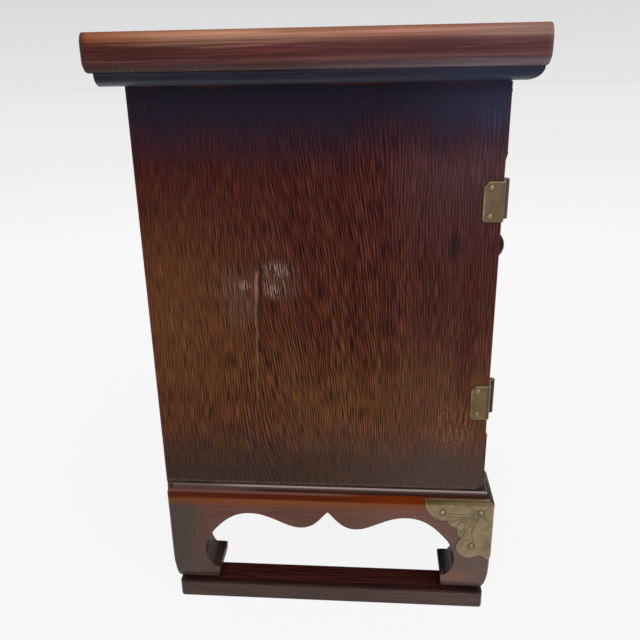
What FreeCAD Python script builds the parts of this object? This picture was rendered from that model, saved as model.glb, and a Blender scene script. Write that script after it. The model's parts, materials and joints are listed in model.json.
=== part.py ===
import FreeCAD, Part
import math
import os

# Small hardwood cabinet on a hoof-footed stand, in millimetres.
# The front faces -Y, +Z is up and the origin is on the floor under the middle of the whole outline.

V = FreeCAD.Vector
X_AXIS = V(1, 0, 0)
Y_AXIS = V(0, 1, 0)
Z_AXIS = V(0, 0, 1)
FAR = 400.0

# Case
case_half = 150.0
case_front = -111.0
case_back = 120.0
case_z0 = 100.0
case_z1 = 379.0
board = 12.0
housing = 4.0
housing_start = 8.0
back_thick = 5.0
back_rebate = 6.0
edge_ease = 1.0
shelf_z1 = 240.0
shelf_thick = 8.0
shelf_gap = 0.5
shelf_front_in = 21.0
batten_wide = 10.0
batten_high = 12.0
batten_front_in = 5.0
batten_back_in = 3.0
inner_half = case_half - board
inner_back = case_back - back_thick

# Top frame and its under-moulding
moulding_high = 7.5
moulding_out = 15.7
moulding_front_out = 15.2
moulding_round = 9.0
moulding_back_out = 12.5
top_z0 = case_z1 + moulding_high
top_thick = 22.5
top_z1 = top_z0 + top_thick
top_out = 18.0
top_member = 48.0
top_belly = 11.5
top_upper_in = 0.9
top_lower_in = 1.1
top_plan_round = 1.2
panel_thick = 10.0
tongue = 4.0
tongue_drop = 4.0
top_slack = 0.2

# Stand
stand_half_x = 155.0
stand_half_y = 119.5
stand_high = case_z0
fold_z = 91.0
fold_round = 0.4
slope_deg = 32.0
waist_in = 4.4
waist_lean = 0.2
waist_round = 1.6
corner_round = 3.0
runner_high = 14.0
runner_wide = 24.0
runner_half = 116.0
runner_end_round = 3.0
runner_rim_round = 1.2
apron_thick = 14.0
leg_narrow = 0.9
post_in = 30.0
cusp_in = 31.7
cusp_z = 59.5
ankle_in = 26.0
ankle_z = 43.5
tip_in = 35.5
tip_z = 28.0
sole_in = 31.0
lean_z = 45.0
lean = 1.2
lean_end_z = 29.0
sole_round = 7.0
rear_sole_round = 5.6
tenon = 10.0
tenon_deep = 8.0
tenon_shift = 3.0
dowel_r = 2.5
dowel_half = 10.0

# Doors
door_gap = 1.0
door_thick = 14.0
stile = 26.0
groove = 5.0
groove_wide = 4.0
panel_recess = 2.0
panel_back_recess = 3.0
panel_slack = 0.4
rail_tenon = 14.0
rail_tenon_in = 6.0
door_x0 = -inner_half + door_gap
door_x1 = -1.0
door_z0 = case_z0 + board + door_gap
door_z1 = case_z1 - board - door_gap
door_back = case_front + door_thick
knob_x = -17.0
knob_z = 248.5
knob_out = 27.0
knob_r = 12.5
knob_neck_r = 5.0
knob_base_r = 7.0
knob_base_high = 1.0
knob_screw_r = 1.5
knob_screw_bite = 9.0
knob_screw_head_r = 3.2
knob_screw_head_high = 1.8
catch_x = 30.0
catch_z = 361.5
magnet_r = 3.0
magnet_long = 5.0
strike_r = 3.6
strike_thick = 0.6
catch_gap = 0.3
stop_half = 70.0
stop_deep = 8.0
stop_high = 10.0

# Hinges
hinge_x = -inner_half
barrel_out = 3.0
hinge_y = case_front - barrel_out
hinge_zs = (case_z0 + 70.5, case_z0 + 208.0)
leaf = 1.0
leaf_half = 12.5
leaf_clip = 3.0
leaf_ease = 1.2
leaf_bend = 1.8
side_leaf_wide = 12.0
door_leaf_wide = 18.0
barrel_r = 2.3
pin_r = 1.0
pin_play = 0.05
pin_head_r = 1.6
pin_head_high = 0.5
knuckle_half = 4.1
knuckle_gap = 0.2
web_clear = 0.4
plate_clear = 1.9
screw_spread = 8.8
side_screw_in = 7.5
door_screw_in = 4.5

# Fasteners and brass plate
mount_thick = 0.8
mount_top = 93.9
case_mount_arm = 46.0
case_mount_clip = 3.5
case_mount_inset = 0.5
case_tack_in = 4.0
head_r = 2.0
head_high = 1.3
shank_r = 0.7
shank_long = 6.0
hole_play = 0.05
nail_rows = (124.0, 201.0, 278.0, 355.0)
nail_columns = (-70.0, 0.0, 70.0)


# Building blocks

def box(x0, x1, y0, y1, z0, z1):
    return Part.makeBox(x1 - x0, y1 - y0, z1 - z0, V(x0, y0, z0))


def flat(start, steps, place):
    # A step of one point is a line, of two an arc through the first, of three a Bezier curve.
    edges = []
    here = start
    for step in steps:
        points = [place(*p) for p in [here] + step]
        if len(step) == 1:
            edges.append(Part.makeLine(points[0], points[1]))
        elif len(step) == 2:
            edges.append(Part.Arc(*points).toShape())
        else:
            curve = Part.BezierCurve()
            curve.setPoles(points)
            edges.append(curve.toShape())
        here = step[-1]
    return Part.Face(Part.Wire(edges))


def polygon(points, place):
    return flat(points[0], [[p] for p in points[1:] + points[:1]], place)


def on_xy(z):
    return lambda x, y: V(x, y, z)


def mirror_x(shape):
    return shape.mirror(V(0, 0, 0), X_AXIS)


def mirror_y(shape):
    return shape.mirror(V(0, 0, 0), Y_AXIS)


def joined(shapes):
    return shapes[0].multiFuse(shapes[1:]).removeSplitter()


def upright_edges(shape):
    return [e for e in shape.Edges if abs(e.tangentAt(e.FirstParameter).z) > 0.9]


def domed_fastener(spot, outward):
    # Domed head standing on the surface at spot, with its shank going in.
    ball_r = (head_r ** 2 + head_high ** 2) / (2 * head_high)
    ball = Part.makeSphere(ball_r, spot + outward * (head_high - ball_r))
    head = ball.common(Part.makeCylinder(head_r + 1, head_high + 1, spot, outward))
    return head.fuse(Part.makeCylinder(shank_r, shank_long, spot, outward * -1)).removeSplitter()


def fastener_hole(spot, outward):
    return Part.makeCylinder(shank_r + hole_play, shank_long + hole_play, spot, outward * -1)


def save(name, shape):
    shape.exportStep(os.path.join("parts", name + ".step"))


# Edge runs: a profile drawn inward from its outer edge, run along one side and cut to a plan

def side_run(profile, outer_x, plan, z0, z1):
    bar = profile(lambda d, z: V(-outer_x + d, -FAR, z)).extrude(Y_AXIS * 2 * FAR)
    return bar.common(polygon(plan, on_xy(z0)).extrude(Z_AXIS * (z1 - z0)))


def front_run(profile, outer_y, plan, z0, z1):
    bar = profile(lambda d, z: V(-FAR, outer_y + d, z)).extrude(X_AXIS * 2 * FAR)
    return bar.common(polygon(plan, on_xy(z0)).extrude(Z_AXIS * (z1 - z0)))


# Top

def top_edge(place):
    groove_z1 = top_z1 - tongue_drop
    groove_z0 = groove_z1 - tongue
    upper = top_upper_in
    lower = top_lower_in
    belly_z = top_z1 - top_belly
    under = lower + 2.2
    steps = [
        [(lower + 1.0, top_z0), (lower + 0.4, top_z0 + 0.7), (lower, top_z0 + 1.9)],
        [(lower - 0.8, top_z0 + 4.3), (0, top_z0 + 7.0), (0, belly_z)],
        [(0, belly_z + 3.5), (upper - 0.55, top_z1 - 4.0), (upper, top_z1 - 1.5)],
        [(upper + 0.2, top_z1 - 0.6), (upper + 0.7, top_z1), (upper + 1.5, top_z1)],
        [(top_member, top_z1)],
        [(top_member, groove_z1)],
        [(top_member - tongue, groove_z1)],
        [(top_member - tongue, groove_z0)],
        [(top_member, groove_z0)],
        [(top_member, top_z0)],
        [(under, top_z0)],
    ]
    return flat((under, top_z0), steps, place)


def moulding_edge(place):
    width = moulding_out + board
    pull = 0.5523  # makes a Bezier curve a quarter ellipse
    steps = [
        [
            (moulding_round * (1 - pull), case_z1),
            (0, top_z0 - moulding_high * pull),
            (0, top_z0),
        ],
        [(width, top_z0)],
        [(width, case_z1)],
        [(moulding_round, case_z1)],
    ]
    return flat((moulding_round, case_z1), steps, place)


def make_top():
    half_x = case_half + top_out
    y0 = case_front - top_out
    y1 = case_back + top_out
    in_x = half_x - top_member
    in_y0 = y0 + top_member
    in_y1 = y1 - top_member
    blank = box(-half_x, half_x, y0, y1, top_z0, top_z1)
    rounded = blank.makeFillet(top_plan_round, upright_edges(blank))
    side_plan = [(-half_x, y0), (-half_x, y1), (-in_x, in_y1), (-in_x, in_y0)]
    front_plan = [(-half_x, y0), (-in_x, in_y0), (in_x, in_y0), (half_x, y0)]
    left = side_run(top_edge, half_x, side_plan, top_z0, top_z1).common(rounded)
    front = front_run(top_edge, y0, front_plan, top_z0, top_z1).common(rounded)
    save("top_frame_left", left)
    save("top_frame_right", mirror_x(left))
    save("top_frame_front", front)
    save("top_frame_back", front.mirror(V(0, (y0 + y1) / 2, 0), Y_AXIS))
    reach = tongue - 2 * top_slack
    field_x = in_x - top_slack
    field_z0 = top_z1 - panel_thick
    field = box(-field_x, field_x, in_y0 + top_slack, in_y1 - top_slack, field_z0, top_z1)
    lip_z1 = top_z1 - tongue_drop
    lip = box(-in_x - reach, in_x + reach, in_y0 - reach, in_y1 + reach, lip_z1 - tongue, lip_z1)
    save("top_panel", joined([field, lip]))


def make_moulding():
    # Mitred at the front corners; the sides run past the case, with a plain strip between them there.
    half_x = case_half + moulding_out
    y0 = case_front - moulding_front_out
    y1 = case_back + moulding_back_out
    in_y0 = y0 + moulding_out + board
    side_plan = [(-half_x, y0), (-half_x, y1), (-inner_half, y1), (-inner_half, in_y0)]
    front_plan = [(-half_x, y0), (-inner_half, in_y0), (inner_half, in_y0), (half_x, y0)]
    left = side_run(moulding_edge, half_x, side_plan, case_z1, top_z0)
    save("moulding_left", left)
    save("moulding_right", mirror_x(left))
    save("moulding_front", front_run(moulding_edge, y0, front_plan, case_z1, top_z0))
    save("moulding_back", box(-inner_half, inner_half, case_back - board, y1, case_z1, top_z0))


# Case

def cross_board(z0):
    z1 = z0 + board
    reach = inner_half + housing
    core = box(-inner_half, inner_half, case_front, inner_back, z0, z1)
    wings = box(-reach, reach, case_front + housing_start, inner_back, z0, z1)
    return joined([core, wings])


def hinge_screw_spots(on_door):
    spots = []
    for z in hinge_zs:
        for rise in (-screw_spread, screw_spread):
            if on_door:
                x = hinge_x + door_leaf_wide - door_screw_in
                spots.append((V(x, case_front - leaf, z + rise), V(0, -1, 0)))
            else:
                spots.append((V(-case_half - leaf, case_front + side_screw_in, z + rise), V(-1, 0, 0)))
    return spots


def back_nail_spots():
    spots = []
    nail_x = inner_half + back_rebate / 2
    for x in (-nail_x, nail_x):
        for z in nail_rows:
            spots.append(V(x, case_back, z))
    for x in nail_columns:
        for z in (case_z0 + board / 2, case_z1 - board / 2):
            spots.append(V(x, case_back, z))
    return spots


def make_case(dowel_holes):
    bottom = cross_board(case_z0)
    top = cross_board(case_z1 - board)
    holes = [fastener_hole(p, Y_AXIS) for p in back_nail_spots()]
    holes += case_mount_holes()
    for spot, outward in hinge_screw_spots(False):
        hole = fastener_hole(spot, outward)
        holes += [hole, mirror_x(hole)]
    side = box(-case_half, -inner_half, case_front, case_back, case_z0, case_z1)
    outer = [e for e in upright_edges(side) if e.CenterOfMass.x < -case_half + edge_ease]
    rebate = box(-inner_half - back_rebate, -inner_half, inner_back, case_back, case_z0, case_z1)
    side = side.makeFillet(edge_ease, outer).cut([bottom, top, rebate])
    save("side_panel_left", side.cut(holes))
    save("side_panel_right", mirror_x(side).cut(holes))
    save("case_bottom", bottom.cut(dowel_holes + holes))
    save("case_top", top.cut(holes))
    back_half = inner_half + back_rebate
    back = box(-back_half, back_half, inner_back, case_back, case_z0, case_z1)
    save("back_panel", back.cut(holes))
    save("back_nails", Part.makeCompound([domed_fastener(p, Y_AXIS) for p in back_nail_spots()]))


def to_four_corners(shape):
    # From the lower left front corner of the case to all four.
    upper = shape.mirror(V(0, 0, (case_z0 + case_z1) / 2), Z_AXIS)
    return [shape, upper, mirror_x(shape), mirror_x(upper)]


def case_mount_spots():
    # Tacks of one plate: one at the corner and one near the end of each arm.
    near = board / 2
    far = case_mount_arm - case_tack_in
    y = case_front - mount_thick
    return [V(-case_half + u, y, case_z0 + v) for u, v in ((near, near), (far, near), (near, far))]


def case_mount_holes():
    holes = []
    for spot in case_mount_spots():
        holes += to_four_corners(fastener_hole(spot, V(0, -1, 0)))
    return holes


def make_case_mounts():
    # Flat brass angle on each front corner of the case, with clipped ends and a round inner corner.
    arm = case_mount_arm
    clip = case_mount_clip
    low = case_mount_inset
    high = board - case_mount_inset
    swing = high + clip * (1 - math.sqrt(0.5))
    outline = [
        [(arm - clip, low)],
        [(arm, low + clip)],
        [(arm, high - clip)],
        [(arm - clip, high)],
        [(high + clip, high)],
        [(swing, swing), (high, high + clip)],
        [(high, arm - clip)],
        [(high - clip, arm)],
        [(low + clip, arm)],
        [(low, arm - clip)],
        [(low, low)],
    ]
    y = case_front - mount_thick
    face = flat((low, low), outline, lambda u, v: V(-case_half + u, y, case_z0 + v))
    plate = face.extrude(Y_AXIS * mount_thick).cut(case_mount_holes())
    tacks = []
    for spot in case_mount_spots():
        tacks += to_four_corners(domed_fastener(spot, V(0, -1, 0)))
    save("case_mounts", Part.makeCompound(to_four_corners(plate)))
    save("case_mount_tacks", Part.makeCompound(tacks))


def make_inside():
    shelf_front = case_front + shelf_front_in
    shelf_z0 = shelf_z1 - shelf_thick
    reach = inner_half - shelf_gap
    save("shelf", box(-reach, reach, shelf_front, inner_back - shelf_gap, shelf_z0, shelf_z1))
    rest_y0 = shelf_front + batten_front_in
    rest_y1 = inner_back - batten_back_in
    rest = box(-inner_half, -inner_half + batten_wide, rest_y0, rest_y1, shelf_z0 - batten_high, shelf_z0)
    save("shelf_battens", Part.makeCompound([rest, mirror_x(rest)]))
    stop_y = door_back + strike_thick + catch_gap
    stop_z1 = case_z1 - board
    stop = box(-stop_half, stop_half, stop_y, stop_y + stop_deep, stop_z1 - stop_high, stop_z1)
    magnets = []
    for x in (-catch_x, catch_x):
        magnets.append(Part.makeCylinder(magnet_r, magnet_long, V(x, stop_y, catch_z), Y_AXIS))
    save("door_stop", stop.cut(magnets))
    save("catch_magnets", Part.makeCompound(magnets))


# Stand

def stand_edge(grow, rounded, place):
    # Upright section of the stand's outside: d runs inward from the face, grow swells it.
    top = stand_high + grow
    if rounded:
        sole = [(lean + 0.8, 22.0), (lean + 2.4, runner_high + 1.5), (sole_round, runner_high)]
    else:
        sole = [(lean + 0.5, 22.0), (lean + 0.7, runner_high + 0.8), (rear_sole_round, runner_high)]
    steps = [
        [(-grow, lean_z)],
        [(0.2, 39.0), (lean - 0.6, 34.0), (lean, lean_end_z)],
        sole,
        [(FAR, runner_high)],
        [(FAR, top)],
    ]
    if rounded:
        # From the top down: rounded rim, low waist, slope, and the fold into the face.
        slope = math.radians(slope_deg)
        bend = fold_round + grow
        half = (math.pi / 2 - slope) / 2
        fold = [(fold_round - bend * math.cos(a), fold_z + bend * math.sin(a)) for a in (2 * half, half, 0)]
        waist = waist_in - grow
        waist_z = fold[0][1] + (waist - fold[0][0]) * math.tan(slope)
        rim = waist + waist_lean
        rim_r = waist_round + grow
        swing = rim_r * math.sqrt(0.5)
        steps.append([(rim + rim_r, top)])
        steps.append([(rim + rim_r - swing, top - rim_r + swing), (rim, top - rim_r)])
        steps.append([(waist, waist_z)])
        steps.append([fold[0]])
        steps.append(fold[1:])
    else:
        steps.append([(-grow, top)])
        steps.append([(-grow, fold_z)])
    return flat((-grow, fold_z), steps, place)


def stand_outside(grow):
    # Whole outside of the stand: shoulder and waist at the front and sides, square at the back.
    left = stand_edge(grow, True, lambda d, z: V(-stand_half_x + d, -FAR, z)).extrude(Y_AXIS * 2 * FAR)
    front = stand_edge(grow, True, lambda d, z: V(-FAR, -stand_half_y + d, z)).extrude(X_AXIS * 2 * FAR)
    back = stand_edge(grow, False, lambda d, z: V(-FAR, stand_half_y - d, z)).extrude(X_AXIS * 2 * FAR)
    half_x = stand_half_x + grow
    half_y = stand_half_y + grow
    plan = box(-half_x, half_x, -half_y, half_y, 0, stand_high + grow)
    plan = plan.makeFillet(corner_round + grow, upright_edges(plan))
    return plan.common(left).common(mirror_x(left)).common(front).common(back)


def leg_face(narrow, place):
    # Leg seen square on; d runs inward from its outer face.
    spare = 5.0
    over = stand_high + spare
    steps = [
        [(-spare, over)],
        [(post_in * narrow, over)],
        [(post_in * narrow, stand_high - post_in)],
        [(cusp_in * narrow, cusp_z)],
        [(28.2 * narrow, 54.0), (ankle_in * narrow, 49.0), (ankle_in * narrow, ankle_z)],
        [(ankle_in * narrow, 36.0), (29.5 * narrow, 29.0), (34.6 * narrow, tip_z - 0.5)],
        [(tip_in * narrow, tip_z)],
        [(tip_in * narrow, 21.0), (34.2 * narrow, 15.0), (sole_in * narrow, runner_high)],
        [(-spare, runner_high)],
    ]
    return flat((-spare, runner_high), steps, place)


def apron_face(half, narrow, place):
    # Cusped lower edge, the same both sides of the middle; u runs along the face from its middle.
    cusp = half - cusp_in * narrow
    inner = half - post_in * narrow
    mitre_z = stand_high - post_in * narrow
    drawn_cusp = 87.8  # the curve is drawn to this half length and stretched to the apron's own
    stretch = cusp / drawn_cusp
    crown = (0, 81.0)
    half_run = [
        [(5.0, 77.0), (9.0, 67.0), (20.5, 67.0)],
        [(32.0, 67.0), (42.0, 78.2), (57.5, 78.2)],
        [(69.0, 78.2), (77.0, 73.0), (drawn_cusp, cusp_z)],
    ]
    right = [[(u * stretch, z) for u, z in step] for step in half_run]
    left = []
    start = crown
    for step in right:
        left.insert(0, [(-u, z) for u, z in step[1::-1] + [start]])
        start = step[-1]
    steps = [[(-inner, mitre_z)], [(-cusp, cusp_z)]] + left + right
    steps += [[(inner, mitre_z)], [(half, stand_high)], [(-half, stand_high)]]
    return flat((-half, stand_high), steps, place)


def stand_mount_face(narrow, place):
    # Scalloped brass corner plate laid flat; d runs along the face from the corner.
    spare = 3.0
    foot_z = 45.8
    outline = [
        [(-spare, mount_top)],
        [(49.0, mount_top)],
        [(48.2, 88.5)],
        [(43.2, 81.2), (32.4, 78.0)],
        [(31.4, 75.6)],
        [(28.6, 72.9), (25.2, 72.4)],
        [(24.7, 69.8)],
        [(24.3, 66.0), (21.4, 63.2)],
        [(25.2, 54.6), (19.4, 47.2)],
        [(15.6, 46.3), (11.8, 47.4)],
        [(7.2, 48.3), (2.9, foot_z)],
        [(-spare, foot_z)],
    ]
    steps = [[(d * narrow, z) for d, z in step] for step in outline]
    return flat((-spare * narrow, foot_z), steps, place)


def stand_tack_spots():
    spots = []
    for d, z in ((36.0, 84.5), (9.0, 85.0), (14.5, 56.5)):
        spots.append((V(-stand_half_x - mount_thick, -stand_half_y + d, z), V(-1, 0, 0)))
        spots.append((V(-stand_half_x + d * leg_narrow, -stand_half_y - mount_thick, z), V(0, -1, 0)))
    return spots


def leg_centre():
    # Middle of the front left leg's post, where its dowel and its foot tenon stand.
    x = -stand_half_x + (apron_thick + post_in * leg_narrow) / 2
    y = -stand_half_y + (apron_thick + post_in) / 2
    return x, y


def make_aprons(outside):
    reach_x = stand_half_x - apron_thick
    reach_y = stand_half_y - apron_thick
    corner = (-stand_half_x, -stand_half_y)
    plan_x = [corner, (-stand_half_x, stand_half_y), (-reach_x, reach_y), (-reach_x, -reach_y)]
    plan_y = [corner, (-reach_x, -reach_y), (reach_x, -reach_y), (stand_half_x, -stand_half_y)]
    left = apron_face(stand_half_y, 1.0, lambda u, z: V(-stand_half_x, u, z))
    left = left.extrude(X_AXIS * apron_thick)
    left = left.common(polygon(plan_x, on_xy(0)).extrude(Z_AXIS * FAR))
    front = apron_face(stand_half_x, leg_narrow, lambda u, z: V(u, -stand_half_y, z))
    front = front.extrude(Y_AXIS * apron_thick)
    front = front.common(polygon(plan_y, on_xy(0)).extrude(Z_AXIS * FAR))
    blanks = {"left": left, "right": mirror_x(left), "front": front, "back": mirror_y(front)}
    return {side: blank.common(outside) for side, blank in blanks.items()}


def make_legs(outside, aprons, holes, dowel_holes):
    side_view = leg_face(1.0, lambda d, z: V(-FAR, -stand_half_y + d, z)).extrude(X_AXIS * 2 * FAR)
    front_view = leg_face(leg_narrow, lambda d, z: V(-stand_half_x + d, -FAR, z)).extrude(Y_AXIS * 2 * FAR)
    blank = side_view.common(front_view)
    x, y = leg_centre()
    half = tenon / 2
    foot_y = y - tenon_shift
    foot_z = runner_high - tenon_deep
    foot_tenon = box(x - half, x + half, foot_y - half, foot_y + half, foot_z, runner_high)
    corners = {
        "front_left": (blank, foot_tenon),
        "front_right": (mirror_x(blank), mirror_x(foot_tenon)),
        "rear_left": (mirror_y(blank), mirror_y(foot_tenon)),
        "rear_right": (mirror_x(mirror_y(blank)), mirror_x(mirror_y(foot_tenon))),
    }
    tenons = []
    for name, (rough, foot) in corners.items():
        shaped = rough.common(outside).cut(list(aprons.values()))
        shaped = joined([shaped, foot]).cut(holes + dowel_holes)
        save("leg_" + name, shaped)
        tenons.append(foot)
    return tenons


def make_runners(tenons):
    x0 = -stand_half_x
    runner = box(x0, x0 + runner_wide, -runner_half, runner_half, 0, runner_high)
    runner = runner.makeFillet(runner_end_round, upright_edges(runner))
    rims = [e for e in runner.Edges if e.BoundBox.ZLength < 0.01]
    runner = runner.makeFillet(runner_rim_round, rims)
    save("runner_left", runner.cut(tenons))
    save("runner_right", mirror_x(runner).cut(tenons))


def make_stand_mounts(outside):
    skin = stand_outside(mount_thick).cut(outside)
    reach = 6.0
    inward = 2.4
    strip = box(-FAR, FAR, -FAR, FAR, fold_z - 0.5, stand_high)
    side = stand_mount_face(1.0, lambda d, z: V(-stand_half_x - reach, -stand_half_y + d, z))
    front = stand_mount_face(leg_narrow, lambda d, z: V(-stand_half_x + d, -stand_half_y - reach, z))
    covers = []
    for face, along in ((side, X_AXIS), (front, Y_AXIS)):
        covers.append(face.extrude(along * (reach + inward)))
        covers.append(face.extrude(along * (reach + waist_in)).common(strip))
    cover = joined(covers)
    spots = stand_tack_spots()
    mount = skin.common(cover).cut([fastener_hole(p, n) for p, n in spots])
    tacks = [domed_fastener(p, n) for p, n in spots]
    save("stand_mount_left", mount)
    save("stand_mount_right", mirror_x(mount))
    save("stand_mount_tacks", Part.makeCompound(tacks + [mirror_x(t) for t in tacks]))


def make_stand():
    outside = stand_outside(0)
    x, y = leg_centre()
    dowels = []
    dowel_holes = []
    for px in (-abs(x), abs(x)):
        for py in (-abs(y), abs(y)):
            spot = V(px, py, stand_high - dowel_half)
            dowels.append(Part.makeCylinder(dowel_r, 2 * dowel_half, spot))
            dowel_holes.append(Part.makeCylinder(dowel_r + hole_play, 2 * dowel_half, spot))
    save("stand_dowels", Part.makeCompound(dowels))
    holes = [fastener_hole(p, n) for p, n in stand_tack_spots()]
    holes += [mirror_x(h) for h in holes]
    aprons = make_aprons(outside)
    for side, apron in aprons.items():
        save("apron_" + side, apron.cut(holes))
    tenons = make_legs(outside, aprons, holes, dowel_holes)
    make_runners(tenons)
    make_stand_mounts(outside)
    return dowel_holes


# Hinges

def knuckle(z0, z1, toward):
    # One barrel segment with the web that carries it to its leaf, toward -X or +X.
    barrel = Part.makeCylinder(barrel_r, z1 - z0, V(hinge_x, hinge_y, z0))
    near, far = sorted((hinge_x + toward * web_clear, hinge_x + toward * barrel_r))
    return barrel.fuse(box(near, far, hinge_y, case_front, z0, z1))


def pin_bore(z):
    return Part.makeCylinder(pin_r + pin_play, 4 * leaf_half, V(hinge_x, hinge_y, z - 2 * leaf_half))


def make_case_leaf(z, holes):
    outer = -case_half - leaf
    z0 = z - leaf_half
    z1 = z + leaf_half
    y0 = case_front - leaf
    y1 = case_front + side_leaf_wide
    outline = [
        (y0, z0), (y1 - leaf_ease, z0), (y1, z0 + leaf_ease),
        (y1, z1 - leaf_clip), (y1 - leaf_clip, z1), (y0, z1),
    ]
    side = polygon(outline, lambda y, h: V(outer, y, h)).extrude(X_AXIS * leaf)
    front = box(outer, hinge_x - plate_clear, y0, case_front, z0, z1)
    plate = joined([side, front])
    bend = []
    for edge in upright_edges(plate):
        end = edge.Vertexes[0]
        if V(outer, y0, 0).distanceToPoint(V(end.X, end.Y, 0)) < 0.01:
            bend.append(edge)
    plate = plate.makeFillet(leaf_bend, bend)
    lower = knuckle(z0, z - knuckle_half - knuckle_gap, -1)
    upper = knuckle(z + knuckle_half + knuckle_gap, z1, -1)
    return joined([plate, lower, upper]).cut(holes + [pin_bore(z)])


def make_door_leaf(z, holes):
    z0 = z - leaf_half
    z1 = z + leaf_half
    x0 = hinge_x + plate_clear
    x1 = hinge_x + door_leaf_wide
    outline = [
        (x0, z0), (x1 - leaf_ease, z0), (x1, z0 + leaf_ease),
        (x1, z1 - leaf_clip), (x1 - leaf_clip, z1), (x0, z1),
    ]
    plate = polygon(outline, lambda x, h: V(x, case_front - leaf, h)).extrude(Y_AXIS * leaf)
    middle = knuckle(z - knuckle_half, z + knuckle_half, 1)
    return joined([plate, middle]).cut(holes + [pin_bore(z)])


def make_pin(z):
    # Plain pin with a low riveted head at each end of the barrel.
    shaft = Part.makeCylinder(pin_r, 2 * leaf_half, V(hinge_x, hinge_y, z - leaf_half))
    parts = [shaft]
    for end in (-1, 1):
        face = V(hinge_x, hinge_y, z + end * leaf_half)
        parts.append(Part.makeCone(pin_head_r, pin_r, pin_head_high, face, Z_AXIS * end))
    return joined(parts)


def make_hinges():
    case_spots = hinge_screw_spots(False)
    door_spots = hinge_screw_spots(True)
    case_holes = [fastener_hole(p, n) for p, n in case_spots]
    door_holes = [fastener_hole(p, n) for p, n in door_spots]
    case_leaves = [make_case_leaf(z, case_holes) for z in hinge_zs]
    door_leaves = [make_door_leaf(z, door_holes) for z in hinge_zs]
    pins = [make_pin(z) for z in hinge_zs]
    case_screws = [domed_fastener(p, n) for p, n in case_spots]
    door_screws = [domed_fastener(p, n) for p, n in door_spots]
    save("hinge_case_leaves_left", Part.makeCompound(case_leaves))
    save("hinge_case_leaves_right", Part.makeCompound([mirror_x(s) for s in case_leaves]))
    save("hinge_pins", Part.makeCompound(pins + [mirror_x(s) for s in pins]))
    save("hinge_screws_case", Part.makeCompound(case_screws + [mirror_x(s) for s in case_screws]))
    save("door_left_hinge_leaves", Part.makeCompound(door_leaves))
    save("door_right_hinge_leaves", Part.makeCompound([mirror_x(s) for s in door_leaves]))
    save("door_left_hinge_screws", Part.makeCompound(door_screws))
    save("door_right_hinge_screws", Part.makeCompound([mirror_x(s) for s in door_screws]))


# Doors

def make_knob():
    # Ball on a waisted neck with a thin collar, held by a screw from behind the door.
    ball_y = case_front - knob_out + knob_r
    neck_y = ball_y + math.sqrt(knob_r ** 2 - knob_neck_r ** 2)
    base_y = case_front - knob_base_high
    waist = (knob_neck_r + 0.4, (base_y + neck_y) / 2 + 0.4)
    steps = [
        [(knob_base_r, case_front)],
        [(knob_base_r, base_y)],
        [waist, (knob_neck_r, neck_y)],
        [(knob_r, ball_y), (0, case_front - knob_out)],
        [(0, case_front)],
    ]
    section = flat((0, case_front), steps, lambda r, y: V(knob_x + r, y, knob_z))
    knob = section.revolve(V(knob_x, 0, knob_z), Y_AXIS, 360)
    tip = V(knob_x, case_front - knob_screw_bite, knob_z)
    length = door_thick + knob_screw_bite
    shank = Part.makeCylinder(knob_screw_r, length, tip, Y_AXIS)
    hole = Part.makeCylinder(knob_screw_r + hole_play, length, tip, Y_AXIS)
    seat = V(knob_x, door_back, knob_z)
    head = Part.makeCylinder(knob_screw_head_r, knob_screw_head_high, seat, Y_AXIS)
    return knob.cut(hole), joined([head, shank]), hole


def make_door():
    # Left door, frame and panel; the right one is its mirror image.
    mid_y = (case_front + door_back) / 2
    slot_y0 = mid_y - groove_wide / 2
    slot_y1 = mid_y + groove_wide / 2
    in_x0 = door_x0 + stile
    in_x1 = door_x1 - stile
    in_z0 = door_z0 + stile
    in_z1 = door_z1 - stile
    slot = box(in_x0 - groove, in_x1 + groove, slot_y0, slot_y1, in_z0 - groove, in_z1 + groove)
    knob, knob_screw, knob_hole = make_knob()
    strike = Part.makeCylinder(strike_r, strike_thick, V(-catch_x, door_back, catch_z), Y_AXIS)
    pieces = {"knob": knob, "knob_screw": knob_screw, "strike": strike}
    rails = []
    for name, z0 in (("rail_top", in_z1), ("rail_bottom", door_z0)):
        z1 = z0 + stile
        bar = box(in_x0, in_x1, case_front, door_back, z0, z1).cut(slot)
        end_x0 = in_x0 - rail_tenon
        end_x1 = in_x1 + rail_tenon
        ends = box(end_x0, end_x1, slot_y0, slot_y1, z0 + rail_tenon_in, z1 - rail_tenon_in)
        pieces[name] = joined([bar, ends])
        rails.append(pieces[name])
    holes = [fastener_hole(p, n) for p, n in hinge_screw_spots(True)]
    for name, x0 in (("stile_hinge", door_x0), ("stile_meeting", in_x1)):
        post = box(x0, x0 + stile, case_front, door_back, door_z0, door_z1)
        pieces[name] = post.cut([slot] + rails).cut(holes + [knob_hole])
    front_y = case_front + panel_recess
    back_y = door_back - panel_back_recess
    slack = panel_slack
    field = box(in_x0 + slack, in_x1 - slack, front_y, back_y, in_z0 + slack, in_z1 - slack)
    bite = groove - slack
    lip = box(in_x0 - bite, in_x1 + bite, slot_y0, slot_y1, in_z0 - bite, in_z1 + bite)
    pieces["panel"] = joined([field, lip])
    for name, piece in pieces.items():
        save("door_left_" + name, piece)
        save("door_right_" + name, mirror_x(piece))


os.makedirs("parts", exist_ok=True)
make_top()
make_moulding()
stand_dowel_holes = make_stand()
make_case(stand_dowel_holes)
make_case_mounts()
make_inside()
make_hinges()
make_door()
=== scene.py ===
import json
import math

import bmesh
import bpy
from mathutils import Matrix, Vector


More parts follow.
